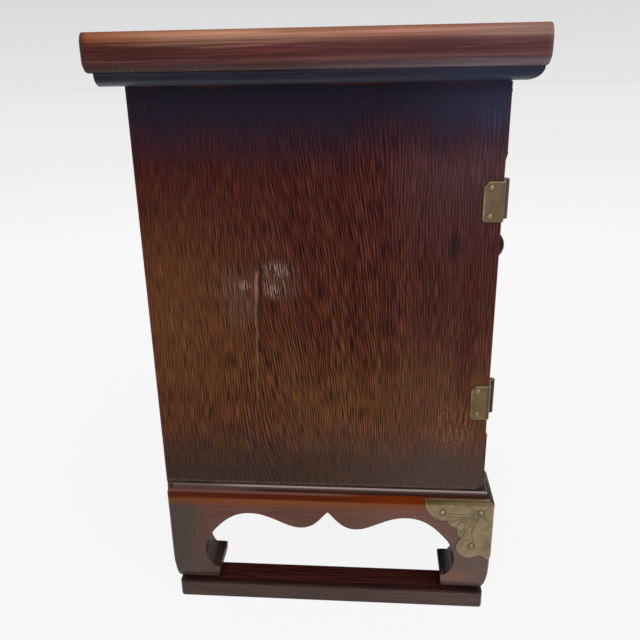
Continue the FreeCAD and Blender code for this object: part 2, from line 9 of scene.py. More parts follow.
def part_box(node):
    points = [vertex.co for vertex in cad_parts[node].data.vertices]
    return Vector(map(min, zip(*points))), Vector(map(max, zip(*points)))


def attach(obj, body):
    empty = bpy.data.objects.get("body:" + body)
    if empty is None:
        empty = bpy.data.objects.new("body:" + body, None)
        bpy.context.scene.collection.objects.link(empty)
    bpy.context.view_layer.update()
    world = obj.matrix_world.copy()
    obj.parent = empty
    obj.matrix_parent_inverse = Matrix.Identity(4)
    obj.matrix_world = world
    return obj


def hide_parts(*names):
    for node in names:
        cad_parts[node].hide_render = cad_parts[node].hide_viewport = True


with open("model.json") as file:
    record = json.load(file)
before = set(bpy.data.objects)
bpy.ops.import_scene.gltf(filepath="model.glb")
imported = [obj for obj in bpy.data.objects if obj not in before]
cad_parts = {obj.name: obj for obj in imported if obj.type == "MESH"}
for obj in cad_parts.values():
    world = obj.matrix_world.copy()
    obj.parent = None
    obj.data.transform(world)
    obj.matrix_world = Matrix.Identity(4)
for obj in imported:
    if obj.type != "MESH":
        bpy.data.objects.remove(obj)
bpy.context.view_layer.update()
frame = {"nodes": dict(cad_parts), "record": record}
nodes = frame["nodes"]
bodies = frame["record"]["behaviour"]["bodies"]
bodyOf = {node: body for body, members in bodies.items() for node in members}

# camera, where the photograph was taken from
cameraValues = {
    "place": (-0.5836, -0.0332, 0.3874),
    "heading": -85.18,  # degrees, 0 looks straight at the doors
    "tilt": 70.04,
    "roll": -1.04,
    "lens": 39.03,
    "sensor": 36.0,
    "nearest": 0.01,
}


def makeCamera(values):
    camera = bpy.data.objects.new("camera", bpy.data.cameras.new("camera"))
    turn = Matrix.Rotation(math.radians(values["heading"]), 4, "Z")
    turn = turn @ Matrix.Rotation(math.radians(values["tilt"]), 4, "X")
    turn = turn @ Matrix.Rotation(math.radians(values["roll"]), 4, "Z")
    camera.matrix_world = Matrix.Translation(values["place"]) @ turn
    camera.data.lens = values["lens"]
    camera.data.sensor_width = values["sensor"]
    camera.data.clip_start = values["nearest"]
    bpy.context.scene.collection.objects.link(camera)
    bpy.context.scene.camera = camera


makeCamera(cameraValues)
bpy.context.scene.view_settings.view_transform = "Standard"
print("camera set")


# small helpers for node trees
def addNode(tree, kind, **settings):
    node = tree.nodes.new("ShaderNode" + kind)
    for key, value in settings.items():
        setattr(node, key, value)
    return node


def feed(tree, socket, value):
    if isinstance(value, bpy.types.NodeSocket):
        tree.links.new(value, socket)
    else:
        socket.default_value = value


def calc(tree, operation, a, b=0.0, c=0.0, clamp=False):
    node = addNode(tree, "Math", operation=operation, use_clamp=clamp)
    for socket, value in zip(node.inputs, (a, b, c)):
        feed(tree, socket, value)
    return node.outputs[0]


def times(tree, a, b):
    return calc(tree, "MULTIPLY", a, b)


def most(tree, a, b):
    return calc(tree, "MAXIMUM", a, b)


def least(tree, a, b):
    return calc(tree, "MINIMUM", a, b)


def addShare(tree, base, value, share, clamp=False):
    return calc(tree, "MULTIPLY_ADD", value, share, base, clamp)


def rest(tree, value):  # what is left of 1
    return calc(tree, "SUBTRACT", 1.0, value)


def magnitude(tree, value):
    return calc(tree, "ABSOLUTE", value)


def apart(tree, value, place):
    return magnitude(tree, calc(tree, "SUBTRACT", value, place))


def swing(tree, value, reach, base=0.0):  # moves the base to and fro with a value round 0.5
    return addShare(tree, base, calc(tree, "SUBTRACT", value, 0.5), reach)


def vectorCalc(tree, operation, a, b=(0, 0, 0)):
    node = addNode(tree, "VectorMath", operation=operation)
    feed(tree, node.inputs[0], a)
    feed(tree, node.inputs[1], b)
    return node.outputs[0]


def coordinates(tree, vector):
    node = addNode(tree, "SeparateXYZ")
    feed(tree, node.inputs[0], vector)
    return node.outputs


def blend(tree, amount, a, b, mode="MIX"):
    node = addNode(tree, "Mix", data_type="RGBA", blend_type=mode)
    feed(tree, node.inputs[0], amount)
    feed(tree, node.inputs[6], a)
    feed(tree, node.inputs[7], b)
    return node.outputs[2]


def fade(tree, value, start, end, low=0.0, high=1.0):  # smooth step from start to end
    node = addNode(tree, "MapRange", interpolation_type="SMOOTHSTEP")
    for socket, number in zip(node.inputs, (value, start, end, low, high)):
        feed(tree, socket, number)
    return node.outputs[0]


def noise(tree, place, scale, detail=2.0, rough=0.5):
    if not isinstance(scale, tuple):
        scale = (scale, scale, scale)
    node = addNode(tree, "TexNoise")
    feed(tree, node.inputs["Vector"], vectorCalc(tree, "MULTIPLY", place, scale))
    node.inputs["Scale"].default_value = 1.0
    node.inputs["Detail"].default_value = detail
    node.inputs["Roughness"].default_value = rough
    return node.outputs[0]


def ramp(tree, value, places, tones):
    node = addNode(tree, "ValToRGB")
    feed(tree, node.inputs[0], value)
    points = node.color_ramp.elements
    while len(points) < len(places):
        points.new(0.5)
    for point, at, tone in zip(points, places, tones):
        point.position = at
        point.color = tone
    return node.outputs[0]


def shade(red, green, blue):  # screen colour to the colour a socket takes
    def linear(value):
        value = value / 255
        return value / 12.92 if value <= 0.04045 else ((value + 0.055) / 1.055) ** 2.4
    return (linear(red), linear(green), linear(blue), 1.0)


def newGroup(name, inputs, outputs):
    tree = bpy.data.node_groups.new(name, "ShaderNodeTree")
    for label, kind in inputs.items():
        tree.interface.new_socket(label, in_out="INPUT", socket_type="NodeSocket" + kind)
    for label in outputs:
        tree.interface.new_socket(label, in_out="OUTPUT", socket_type="NodeSocketFloat")
    return tree, tree.nodes.new("NodeGroupInput").outputs, tree.nodes.new("NodeGroupOutput").inputs


# A band says where a change starts and ends, and how much there is at its start and end.
# long fine grain, in millimetres: it runs along the third axis and wanders over the first
grainValues = {
    "slowScale": (0.02, 0.02, 0.012),
    "quickScale": (0.16, 0.16, 0.08),
    "wiggle": 1.2,
    "coarseScale": (1.15, 1.15, 0.06),
    "coarseRough": 0.55,
    "fineScale": (2.3, 2.3, 0.11),
    "base": 0.1,
    "coarseShare": 0.25,
    "fineShare": 0.55,
    "rippleRate": 2.6,
    "rippleSwerve": 4.0,
    "rippleScale": (0.22, 0.22, 0.03),
    "rippleBand": (0.35, 0.65, 0.03, 0.085),
    "streakBand": (0.33, 0.67),
    "poreScale": (2.1, 2.1, 0.11),
    "poreBand": (0.56, 0.68),
    "poreDepth": -0.8,
    "figureScale": (0.05, 0.05, 0.004),
    "figureBand": (0.35, 0.65),
}


def makeGrainGroup(values):
    tree, given, out = newGroup(
        "longGrain",
        {"Place": "Vector", "Shift": "Float", "Wander": "Float", "Width": "Float", "Length": "Float"},
        ["Streak", "Pores", "Figure", "Height"],
    )
    slow = noise(tree, given["Place"], values["slowScale"])
    quick = noise(tree, given["Place"], values["quickScale"], 0.0)
    wiggle = calc(tree, "DIVIDE", values["wiggle"], given["Length"])
    drift = swing(tree, quick, wiggle, swing(tree, slow, given["Wander"]))
    drift = calc(tree, "ADD", drift, given["Shift"])
    x, y, z = coordinates(tree, given["Place"])
    side = calc(tree, "DIVIDE", calc(tree, "ADD", x, drift), given["Width"])
    join = addNode(tree, "CombineXYZ")
    feed(tree, join.inputs[0], side)
    feed(tree, join.inputs[1], calc(tree, "DIVIDE", y, given["Width"]))
    feed(tree, join.inputs[2], calc(tree, "DIVIDE", z, given["Length"]))
    lines = join.outputs[0]
    coarse = noise(tree, lines, values["coarseScale"], 1.0, values["coarseRough"])
    fine = noise(tree, lines, values["fineScale"], 0.0)
    both = addShare(tree, values["base"], coarse, values["coarseShare"])
    both = addShare(tree, both, fine, values["fineShare"])
    ripple = addShare(tree, times(tree, side, values["rippleRate"]), coarse, values["rippleSwerve"])
    uneven = fade(tree, noise(tree, lines, values["rippleScale"], 1.0), *values["rippleBand"])
    both = addShare(tree, both, calc(tree, "SINE", ripple), uneven)  # growth lines, clearer in some places
    streak = fade(tree, both, *values["streakBand"])
    pores = fade(tree, noise(tree, lines, values["poreScale"], 0.0), *values["poreBand"])
    figure = fade(tree, noise(tree, lines, values["figureScale"]), *values["figureBand"])
    feed(tree, out["Streak"], streak)
    feed(tree, out["Pores"], pores)
    feed(tree, out["Figure"], figure)
    feed(tree, out["Height"], addShare(tree, streak, pores, values["poreDepth"]))
    return tree


# ragged wear along the edges of the box that a piece fills
wearValues = {
    "ragScale": 420,
    "ragRough": 0.65,
    "ragReach": 1.7,
    "patchScale": 26,
    "patchBand": (0.34, 0.62),
    "nearBand": (0.85, 0.1),
}


def makeWearGroup(values):
    tree, given, out = newGroup(
        "edgeWear",
        {"Place": "Vector", "Low": "Vector", "High": "Vector", "Width": "Float"},
        ["Wear"],
    )
    below = vectorCalc(tree, "SUBTRACT", given["Place"], given["Low"])
    above = vectorCalc(tree, "SUBTRACT", given["High"], given["Place"])
    x, y, z = coordinates(tree, vectorCalc(tree, "MINIMUM", below, above))
    middle = most(tree, least(tree, x, y), least(tree, most(tree, x, y), z))
    near = calc(tree, "DIVIDE", middle, given["Width"])
    rag = noise(tree, given["Place"], values["ragScale"], 3.0, values["ragRough"])
    near = swing(tree, rag, values["ragReach"], near)
    patches = fade(tree, noise(tree, given["Place"], values["patchScale"]), *values["patchBand"])
    feed(tree, out["Wear"], times(tree, fade(tree, near, *values["nearBand"]), patches))
    return tree


# thin scratches along the grain and small specks, in millimetres
marksValues = {
    "strokeScale": (1.5, 1.5, 0.04),
    "strokeBand": (0.68, 0.76),
    "breakScale": (0.05, 0.05, 0.03),
    "breakBand": (0.5, 0.62),
    "speckScale": (0.16, 0.16, 0.16),
    "speckBand": (0.86, 1.0, 0.0, 0.08),
}


def makeMarksGroup(values):
    tree, given, out = newGroup("handlingMarks", {"Place": "Vector"}, ["Scratches", "Specks"])
    strokes = fade(tree, noise(tree, given["Place"], values["strokeScale"], 0.0), *values["strokeBand"])
    broken = fade(tree, noise(tree, given["Place"], values["breakScale"]), *values["breakBand"])
    feed(tree, out["Scratches"], times(tree, strokes, broken))
    dots = addNode(tree, "TexVoronoi")
    feed(tree, dots.inputs["Vector"], vectorCalc(tree, "MULTIPLY", given["Place"], values["speckScale"]))
    dots.inputs["Scale"].default_value = 1.0
    pick = addNode(tree, "SeparateColor")
    feed(tree, pick.inputs[0], dots.outputs["Color"])
    reach = fade(tree, pick.outputs[0], *values["speckBand"])
    feed(tree, out["Specks"], calc(tree, "LESS_THAN", dots.outputs["Distance"], reach))
    return tree


grainGroup = makeGrainGroup(grainValues)
wearGroup = makeWearGroup(wearValues)
marksGroup = makeMarksGroup(marksValues)
print("shared node groups built")


def useGroup(tree, group, **values):
    node = addNode(tree, "Group")
    node.node_tree = group
    for label, value in values.items():
        feed(tree, node.inputs[label], value)
    return node.outputs


axes = {"x": Vector((1, 0, 0)), "y": Vector((0, 1, 0)), "z": Vector((0, 0, 1))}
seedStep = Vector((13.7, 5.3, 71.9))  # millimetres that one seed moves the grain
perMetre = 1000


class Finish:  # one material under construction, with the sockets that its layers share
    def __init__(self, values, node, grain, seed, name=None):
        self.values = values
        self.material = bpy.data.materials.new(name or node)
        self.material.use_nodes = True
        self.tree = self.material.node_tree
        self.tree.nodes.clear()
        tree = self.tree
        self.place = addNode(tree, "TexCoord").outputs["Object"]
        self.x, self.y, self.z = coordinates(tree, self.place)
        along, across = (axes[letter] for letter in grain)  # first letter along the grain, second across it
        mapping = addNode(tree, "Mapping")
        feed(tree, mapping.inputs["Vector"], self.place)
        mapping.inputs["Location"].default_value = seed * seedStep
        mapping.inputs["Rotation"].default_value = Matrix((across, along.cross(across), along)).to_euler()
        mapping.inputs["Scale"].default_value = (perMetre, perMetre, perMetre)
        self.millimetres = mapping.outputs[0]
        self.low, self.high = (tuple(corner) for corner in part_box(node))

    def noise(self, scale, detail=2.0, rough=0.5):
        return noise(self.tree, self.millimetres, scale, detail, rough)

    def edgeWear(self):
        group = useGroup(self.tree, wearGroup, Place=self.place, Low=self.low, High=self.high,
                         Width=self.values["wearWidth"])
        return group["Wear"]

    def band(self, value, label):
        return fade(self.tree, value, *self.values[label])

    def between(self, amount, label):
        return blend(self.tree, amount, *self.values[label])

    def lay(self, amount, tone, share=1.0, mode="MIX"):  # one more layer over the colour so far
        tone, share = (self.values[item] if isinstance(item, str) else item for item in (tone, share))
        if share != 1.0:
            amount = times(self.tree, amount, share)
        self.colour = blend(self.tree, amount, self.colour, tone, mode)

    def spot(self, a, b, centre, reach, soft=0.0):  # soft ellipse, 1 at its middle
        tree = self.tree
        first = calc(tree, "DIVIDE", calc(tree, "SUBTRACT", a, centre[0]), reach[0])
        second = calc(tree, "DIVIDE", calc(tree, "SUBTRACT", b, centre[1]), reach[1])
        square = addShare(tree, times(tree, second, second), first, first)
        return fade(tree, square, 1.0, soft)

    def close(self, rough, bump, others):
        tree = self.tree
        shader = addNode(tree, "BsdfPrincipled")
        for label, value in {"Base Color": self.colour, "Roughness": rough, **others}.items():
            feed(tree, shader.inputs[label], value)
        if bump:
            relief = addNode(tree, "Bump")
            for label, value in zip(("Height", "Strength", "Distance"), bump):
                feed(tree, relief.inputs[label], value)
            feed(tree, shader.inputs["Normal"], relief.outputs[0])
        tree.links.new(shader.outputs[0], addNode(tree, "OutputMaterial").inputs[0])
        return self.material


# what all the wood shares
woodValues = {
    "tonePlaces": (0.0, 0.5, 1.0),
    "scratches": 0.14,
    "specks": 0.4,
    "roughSpread": (0.08, -0.05),  # on dark and on light grain
    "wornRough": 0.18,
    "scratchDepth": -0.8,
    "bumpDepth": 0.0003,
}


def woodLayers(finish, shift=0.0, contrast=1.0):
    tree = finish.tree
    values = finish.values
    grain = useGroup(tree, grainGroup, Place=finish.millimetres, Shift=shift,
                     Wander=values["wander"], Width=values["width"], Length=values["length"])
    marks = useGroup(tree, marksGroup, Place=finish.millimetres)
    finish.wear = finish.edgeWear()
    finish.streak = swing(tree, grain["Streak"], contrast, 0.5)
    finish.figure = grain["Figure"]
    finish.height = grain["Height"]
    finish.scratches = marks["Scratches"]
    finish.specks = marks["Specks"]
    finish.colour = ramp(tree, finish.streak, woodValues["tonePlaces"], values["tones"])
    finish.lay(finish.figure, "figureTone", "figure", "MULTIPLY")
    finish.lay(times(tree, grain["Pores"], contrast), values["tones"][0], "pores")


def closeWood(finish, coat):
    tree = finish.tree
    values = finish.values
    worn = times(tree, finish.wear, values["wear"])
    finish.lay(worn, "wearTone")
    finish.lay(finish.scratches, "wearTone", woodValues["scratches"])
    finish.lay(finish.specks, "wearTone", woodValues["specks"])
    onDark, onLight = (values["rough"] + spread for spread in woodValues["roughSpread"])
    rough = fade(tree, finish.streak, 0.0, 1.0, onDark, onLight)
    rough = addShare(tree, rough, worn, woodValues["wornRough"])
    height = addShare(tree, finish.height, finish.scratches, woodValues["scratchDepth"])
    gloss = {
        "Coat Weight": coat,
        "Coat Roughness": values["coatRough"],
        "Specular IOR Level": values["gloss"],
    }
    return finish.close(rough, (height, values["bump"], woodValues["bumpDepth"]), gloss)


# a node's mesh again with its sharp edges taken off, standing for the node
softenValues = {
    "mergeDistance": 0.000002,
    "flatAngle": 0.2,  # degrees
    "sharpAngle": 32,
    "smoothAngle": 40,
    "inwardLimit": 0.25,
    "levelLimit": 0.9,
}


def softened(node, width, segments=2, outward=None, hollow=None):
    values = softenValues
    mesh = nodes[node].data.copy()
    mesh.name = node + "_soft"
    mesh.materials.clear()
    bm = bmesh.new()
    bm.from_mesh(mesh)
    bmesh.ops.remove_doubles(bm, verts=bm.verts, dist=values["mergeDistance"])
    flat = math.radians(values["flatAngle"])
    bmesh.ops.dissolve_limit(bm, angle_limit=flat, verts=bm.verts, edges=bm.edges)
    bend = math.radians(values["sharpAngle"])
    sharp = [edge for edge in bm.edges if len(edge.link_faces) == 2 and edge.calc_face_angle(0) > bend]
    bmesh.ops.bevel(bm, geom=sharp, offset=width, offset_type="OFFSET", affect="EDGES",
                    segments=segments, profile=0.5, material=-1, clamp_overlap=True)
    bmesh.ops.triangulate(bm, faces=[face for face in bm.faces if len(face.verts) > 4])
    if outward is not None:  # marks the faces that look into the hollow of the stand
        inside = bm.faces.layers.float.new("inside")
        for face in bm.faces:
            middle = face.calc_center_median()
            upright = abs(face.normal.z) < values["levelLimit"]
            turned = upright and face.normal.dot(Vector(outward)) < values["inwardLimit"]
            deep = abs(middle.x) < hollow[0] and abs(middle.y) < hollow[1] and middle.z < hollow[2]
            face[inside] = 1.0 if turned or deep else 0.0
    bm.to_mesh(mesh)
    bm.free()
    for name in ("custom_normal", "sharp_face"):
        if name in mesh.attributes:
            mesh.attributes.remove(mesh.attributes[name])
    mesh.shade_smooth()
    mesh.set_sharp_from_angle(angle=math.radians(values["smoothAngle"]))
    piece = bpy.data.objects.new(node + "_piece", mesh)
    bpy.context.scene.collection.objects.link(piece)
    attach(piece, bodyOf[node])
    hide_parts(node)
    return piece


def dress(piece, material):
    piece.data.materials.clear()
    piece.data.materials.append(material)


def evenShading(piece):  # flat faces keep flat shading beside their rounded edges
    even = piece.modifiers.new("evenShading", "WEIGHTED_NORMAL")
    even.keep_sharp = True


def makeParts(grains, values, paint, seed, segments=2):
    for number, (node, grain) in enumerate(grains.items()):
        piece = softened(node, values["edge"], segments)
        dress(piece, paint(node, grain, seed + number))
        evenShading(piece)


# side panels, the left one being the face that the photograph shows
# heights are above the floor and places across are from the middle, in metres
sidePanelValues = {
    "edge": 0.0007,
    "edgeSteps": 3,
    "seed": 1.0,
    "tones": (shade(18, 5, 4), shade(65, 27, 19), shade(124, 70, 43)),
    "figureTone": shade(224, 190, 184),
    "figure": 0.5,
    "pores": 0.28,
    "wander": 8.0,
    "width": 0.76,
    "length": 1.45,
    "wearWidth": 0.003,
    "wear": 0.22,
    "wearTone": shade(122, 70, 46),
    "rough": 0.46,
    "bump": 0.3,
    "gloss": 0.05,
    "coatRough": 0.22,
    "coatBand": (0.17, 0.11, 0.02, 0.22),
    # lean of the grain from the back edge to the front one, 0.5 upright
    "leanPlaces": (0.0, 0.06, 0.17, 0.32, 0.48, 0.65, 0.8, 1.0),
    "leans": (0.5, 0.54, 0.56, 0.67, 0.65, 0.63, 0.54, 0.51),
    "leanReach": 0.9,
    "leanHeight": 0.24,
    "strongPlace": 0.012,
    "strongBand": (0.035, 0.088, 0.95, 0.6),
    "drift": 0.03,
    "rearTones": (shade(34, 14, 7), shade(134, 82, 47)),
    "rearAcross": (0.015, 0.1),
    "rearTop": (0.35, 0.26),
    "rearFoot": (0.15, 0.22, 0.25, 0.75),
    "lowTones": (shade(20, 9, 4), shade(134, 86, 50)),
    "lowBand": (0.235, 0.165),
    "lowAcross": (0.06, 0.0, 0.2, 0.62),
    "upperTones": (shade(27, 7, 9), shade(84, 28, 30)),
    "upperBand": (0.22, 0.33, 0.0, 0.55),
    # painted sheen: greyer and paler towards the front, up the middle of the panel
    "frontSheenTones": (shade(54, 34, 40), shade(108, 78, 84)),
    "paleAcross": (-0.02, -0.08),
    "frontSheenBand": (0.26, 0.335, 0.12, 0.5),
    "unevenScale": (0.03, 0.03, 0.006),
    "unevenReach": 0.034,
    # darker towards the top: a darker finish with painted shade under the moulding
    "darkTopAndShadeTones": (shade(26, 14, 24), shade(58, 32, 50)),
    "darkTopAndShadeBand": (0.322, 0.348, 0.0, 0.7),
    "shadeTones": (shade(31, 27, 39), shade(50, 49, 72)),
    "shadeAcross": (-0.03, -0.11),
    "shadeBand": (0.342, 0.366, 0.0, 0.92),
    "shadeReach": 0.006,
    # greyish film low on the panel: dust with a painted sheen of the pale floor's reflection
    "dustAndSheenTones": (shade(37, 27, 19), shade(68, 56, 53)),
    "dustAndSheenAcross": (0.03, -0.1),
    "dustAndSheenBand": (0.158, 0.112, 0.0, 0.72),
    # painted highlight on the panel's foot edge and painted shade in the gap below it
    "seamHighlightTone": shade(100, 80, 72),
    "seamScale": 0.3,
    "seamBreak": (0.4, 0.6, 0.15, 0.55),
    "seamHighlightBand": (0.1034, 0.1022),
    "gapShadeBand": (0.1017, 0.1012, 0.0, 0.95),
    # marks on the left panel: spots have a middle and a reach, across and upward
    "clumpScale": (1.1, 1.1, 0.28),
    "clumpRough": 0.6,
    "clumpShare": 0.7,
    "streakShare": 0.3,
    "hazeTone": shade(112, 90, 78),
    "hazeSpots": (((0.058, 0.245), (0.017, 0.03)), ((0.03, 0.257), (0.02, 0.02))),
    "secondHaze": 0.8,
    "hazeBand": (0.2, 0.9, 0.05, 0.45),
    "wornTone": shade(166, 138, 116),
    "wornSpots": (((0.0315, 0.2635), (0.0135, 0.0075)), ((0.033, 0.251), (0.0095, 0.0095)),
                  ((0.0526, 0.253), (0.0055, 0.0045))),
    "wornBand": (0.5, 0.66, 0.0, 0.8),
    "lineTone": shade(152, 108, 74),
    "line": 0.8,
    "linePlace": 0.0551,
    "lineLean": 0.039,
    "lineScale": (0.12, 0.12, 0.08),
    "lineRough": 0.6,
    "lineWobble": 0.003,
    "lineWidth": 0.0011,
    "headWidth": 0.0006,
    "lineCore": 0.0004,
    "headBand": (0.238, 0.252),
    "headStrength": 0.9,
    "runFoot": (0.12, 0.24, 0.0, 0.5),
    "runTop": (0.264, 0.26),
    "besidePlace": -0.0028,
    "besideBand": (0.0017, 0.0004, 0.0, 0.7),
    "fleckTone": shade(158, 98, 54),
    "fleckSpot": ((-0.087, 0.15), (0.02, 0.03)),
    "fleckBand": (0.5, 0.64, 0.0, 0.6),
    "smearTone": shade(24, 22, 30),
    "smearSpot": ((-0.083, 0.282), (0.004, 0.018)),
    "smear": 0.65,
    "frostTone": shade(112, 106, 120),
    "frostSpot": ((-0.1, 0.338), (0.013, 0.032)),
    "frostScale": (1.9, 1.9, 0.05),
    "frostBand": (0.58, 0.7, 0.0, 0.4),
    # near-black painted shade, in the gap under the panel and in the chipped notch at its front corner
    "recessShadeTone": shade(16, 12, 13),
    "chipSpot": ((-0.1105, 0.1), (0.0045, 0.0042), 0.5),
    "chip": 0.95,
}


def paintPanelMarks(finish):
    tree = finish.tree
    values = finish.values
    y, z = finish.y, finish.z
    clumps = finish.noise(values["clumpScale"], 2.0, values["clumpRough"])
    strokes = addShare(tree, times(tree, finish.streak, values["streakShare"]), clumps, values["clumpShare"])
    first, second = (finish.spot(y, z, *spot) for spot in values["hazeSpots"])
    haze = most(tree, first, times(tree, second, values["secondHaze"]))
    haze = times(tree, haze, finish.band(finish.streak, "hazeBand"))
    finish.lay(haze, "hazeTone")
    first, second, third = (finish.spot(y, z, *spot) for spot in values["wornSpots"])
    worn = most(tree, most(tree, first, second), third)
    finish.lay(times(tree, worn, finish.band(strokes, "wornBand")), "wornTone")
    # a pale line where two widths of the board meet, with a dark one beside it
    broad = finish.noise(values["lineScale"], 2.0, values["lineRough"])
    line = addShare(tree, calc(tree, "SUBTRACT", y, values["linePlace"]), z, values["lineLean"])
    line = swing(tree, broad, values["lineWobble"], line)
    head = finish.band(z, "headBand")
    run = times(tree, finish.band(z, "runFoot"), finish.band(z, "runTop"))
    run = addShare(tree, run, times(tree, head, run), values["headStrength"])
    edge = addShare(tree, values["lineWidth"], head, values["headWidth"])
    pale = times(tree, fade(tree, magnitude(tree, line), edge, values["lineCore"]), run)
    dark = times(tree, finish.band(apart(tree, line, values["besidePlace"]), "besideBand"), run)
    finish.lay(dark, "smearTone")
    finish.lay(pale, "lineTone", "line")
    fleck = times(tree, finish.spot(y, z, *values["fleckSpot"]), finish.band(strokes, "fleckBand"))
    finish.lay(fleck, "fleckTone")
    finish.lay(finish.spot(y, z, *values["smearSpot"]), "smearTone", "smear")
    hair = finish.band(finish.noise(values["frostScale"], 0.0), "frostBand")
    finish.lay(times(tree, finish.spot(y, z, *values["frostSpot"]), hair), "frostTone")
    # painted shade in the chipped notch at the panel's front foot corner
    finish.lay(finish.spot(y, z, *values["chipSpot"]), "recessShadeTone", "chip")


def paintSidePanel(node, grain, seed):
    values = sidePanelValues
    finish = Finish(values, node, grain, seed)
    tree = finish.tree
    y, z = finish.y, finish.z
    # the grain leans over in the middle of the board and stands up at its edges
    across = fade(tree, y, finish.high[1], finish.low[1])
    lean = ramp(tree, across, values["leanPlaces"], [(k, k, k, 1) for k in values["leans"]])
    lean = times(tree, calc(tree, "SUBTRACT", 0.5, lean), values["leanReach"])
    level = times(tree, calc(tree, "SUBTRACT", z, values["leanHeight"]), perMetre)
    contrast = finish.band(apart(tree, y, values["strongPlace"]), "strongBand")
    woodLayers(finish, times(tree, lean, level), contrast)
    drift = swing(tree, finish.figure, values["drift"])
    height = calc(tree, "ADD", z, drift)
    rear = finish.band(calc(tree, "ADD", y, drift), "rearAcross")
    rear = times(tree, rear, finish.band(z, "rearTop"))
    rear = times(tree, rear, finish.band(z, "rearFoot"))
    finish.lay(rear, finish.between(finish.streak, "rearTones"))
    low = times(tree, finish.band(height, "lowBand"), finish.band(y, "lowAcross"))
    finish.lay(low, finish.between(finish.streak, "lowTones"))
    upper = finish.band(height, "upperBand")
    finish.lay(upper, finish.between(finish.streak, "upperTones"))
    # painted sheen: greyer and paler towards the front, up the middle of the panel
    pale = times(tree, finish.band(y, "paleAcross"), finish.band(z, "frontSheenBand"))
    finish.lay(pale, finish.between(finish.streak, "frontSheenTones"))
    calm = swing(tree, finish.noise(values["unevenScale"]), values["unevenReach"], z)
    # darker towards the top: a darker finish with painted shade under the moulding
    finish.lay(finish.band(calm, "darkTopAndShadeBand"), finish.between(finish.streak, "darkTopAndShadeTones"))
    frontward = finish.band(y, "shadeAcross")
    lowered = addShare(tree, calm, frontward, values["shadeReach"])  # the shade comes lower towards the front
    finish.lay(finish.band(lowered, "shadeBand"), finish.between(frontward, "shadeTones"))
    # greyish film low on the panel: dust with a painted sheen of the pale floor's reflection
    dustAndSheen = finish.between(finish.band(y, "dustAndSheenAcross"), "dustAndSheenTones")
    finish.lay(finish.band(calm, "dustAndSheenBand"), dustAndSheen)
    # painted shade in the gap along the case's foot, with a painted highlight on the panel's edge above it
    broken = finish.band(finish.noise(values["seamScale"]), "seamBreak")
    finish.lay(times(tree, finish.band(z, "seamHighlightBand"), broken), "seamHighlightTone")
    finish.lay(finish.band(z, "gapShadeBand"), "recessShadeTone")
    if node == "side_panel_left":
        paintPanelMarks(finish)
    return closeWood(finish, finish.band(calm, "coatBand"))


panelGrains = {"side_panel_left": "zy", "side_panel_right": "zy"}
makeParts(panelGrains, sidePanelValues, paintSidePanel, sidePanelValues["seed"],
          sidePanelValues["edgeSteps"])
print("side panels done")

# top board and its under-moulding
topValues = {
    "edge": 0.0003,
    "seed": 11.0,
    "tones": (shade(66, 28, 26), shade(90, 43, 40), shade(116, 62, 53)),
    "figureTone": shade(204, 176, 178),
    "figure": 0.6,
    "pores": 0.2,
    "wander": 2.0,
    "width": 0.9,
    "length": 4.0,
    "wearWidth": 0.003,
    "wear": 0.1,
    "wearTone": shade(186, 150, 128),
    "rough": 0.4,
    "bump": 0.2,
    "gloss": 0.06,
    "coatRough": 0.16,
    "coatBand": (0.386, 0.4, 0.35, 0.2),
    "figureSway": 0.003,
    "streakSway": 0.0012,
    "rimBand": (0.0105, 0.004),
    "inwardBand": (0.155, 0.08),
    "inwardPlace": 0.4,
    # tones along a side, from the back corner to the front one
    # the upper tones are a painted highlight along the rounded edge
    "highlightPlaces": (0.0, 0.08, 0.31, 0.55, 0.7, 1.0),
    "upperTones": (shade(148, 78, 42), shade(158, 100, 70), shade(204, 150, 122), shade(188, 130, 106),
                   shade(180, 124, 104), shade(158, 124, 112)),
    "upperBand": (0.3996, 0.4077),
    "highlightPower": 1.6,
    "upper": 0.9,
    "middlePlaces": (0.0, 0.06, 0.4, 1.0),
    "middleTones": (shade(84, 36, 20), shade(62, 24, 18), shade(86, 38, 36), shade(98, 62, 66)),
    "middle": 0.6,
    # painted reflection of the floor on the lower part of the edge, greyish to the front, dark at the back
    "lowerReflectionPlaces": (0.0, 0.4, 1.0),
    "lowerReflectionTones": (shade(32, 16, 16), shade(68, 47, 46), shade(104, 93, 102)),
    "lowerReflectionBand": (0.3938, 0.3895, 0.0, 0.8),
    # painted highlight along the crest of the edge
    "crestHighlightTone": shade(146, 88, 64),
    "crestHighlightBand": (0.4068, 0.4086, 0.0, 0.6),
    # a faint painted highlight line low on the top's edge
    "lineTone": shade(118, 82, 74),
    "highlightLineHeight": 0.3932,
    "highlightLineBand": (0.0011, 0.0002),
    "lineFigure": (0.2, 0.9, 0.1, 0.4),
    # painted shade where the rim turns round the back corner
    "cornerShadeTone": shade(46, 28, 25),
    "cornerShadeBand": (0.1325, 0.1372, 0.0, 0.75),
    "sheenTone": shade(172, 126, 108),
    "sheenSpot": ((0.058, 0.4033), (0.055, 0.0032)),
    "sheenStreak": (0.2, 0.8, 0.15, 0.5),
    "broadScale": (0.4, 0.4, 0.009),
    "broadRough": 0.55,
    "broadBand": (0.32, 0.68),
    "broadTones": ((0.72, 0.64, 0.6, 1.0), (1.22, 1.25, 1.27, 1.0)),
}
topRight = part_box("top_frame_right")[1].x
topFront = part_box("top_frame_front")[0].y
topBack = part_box("top_frame_back")[1].y


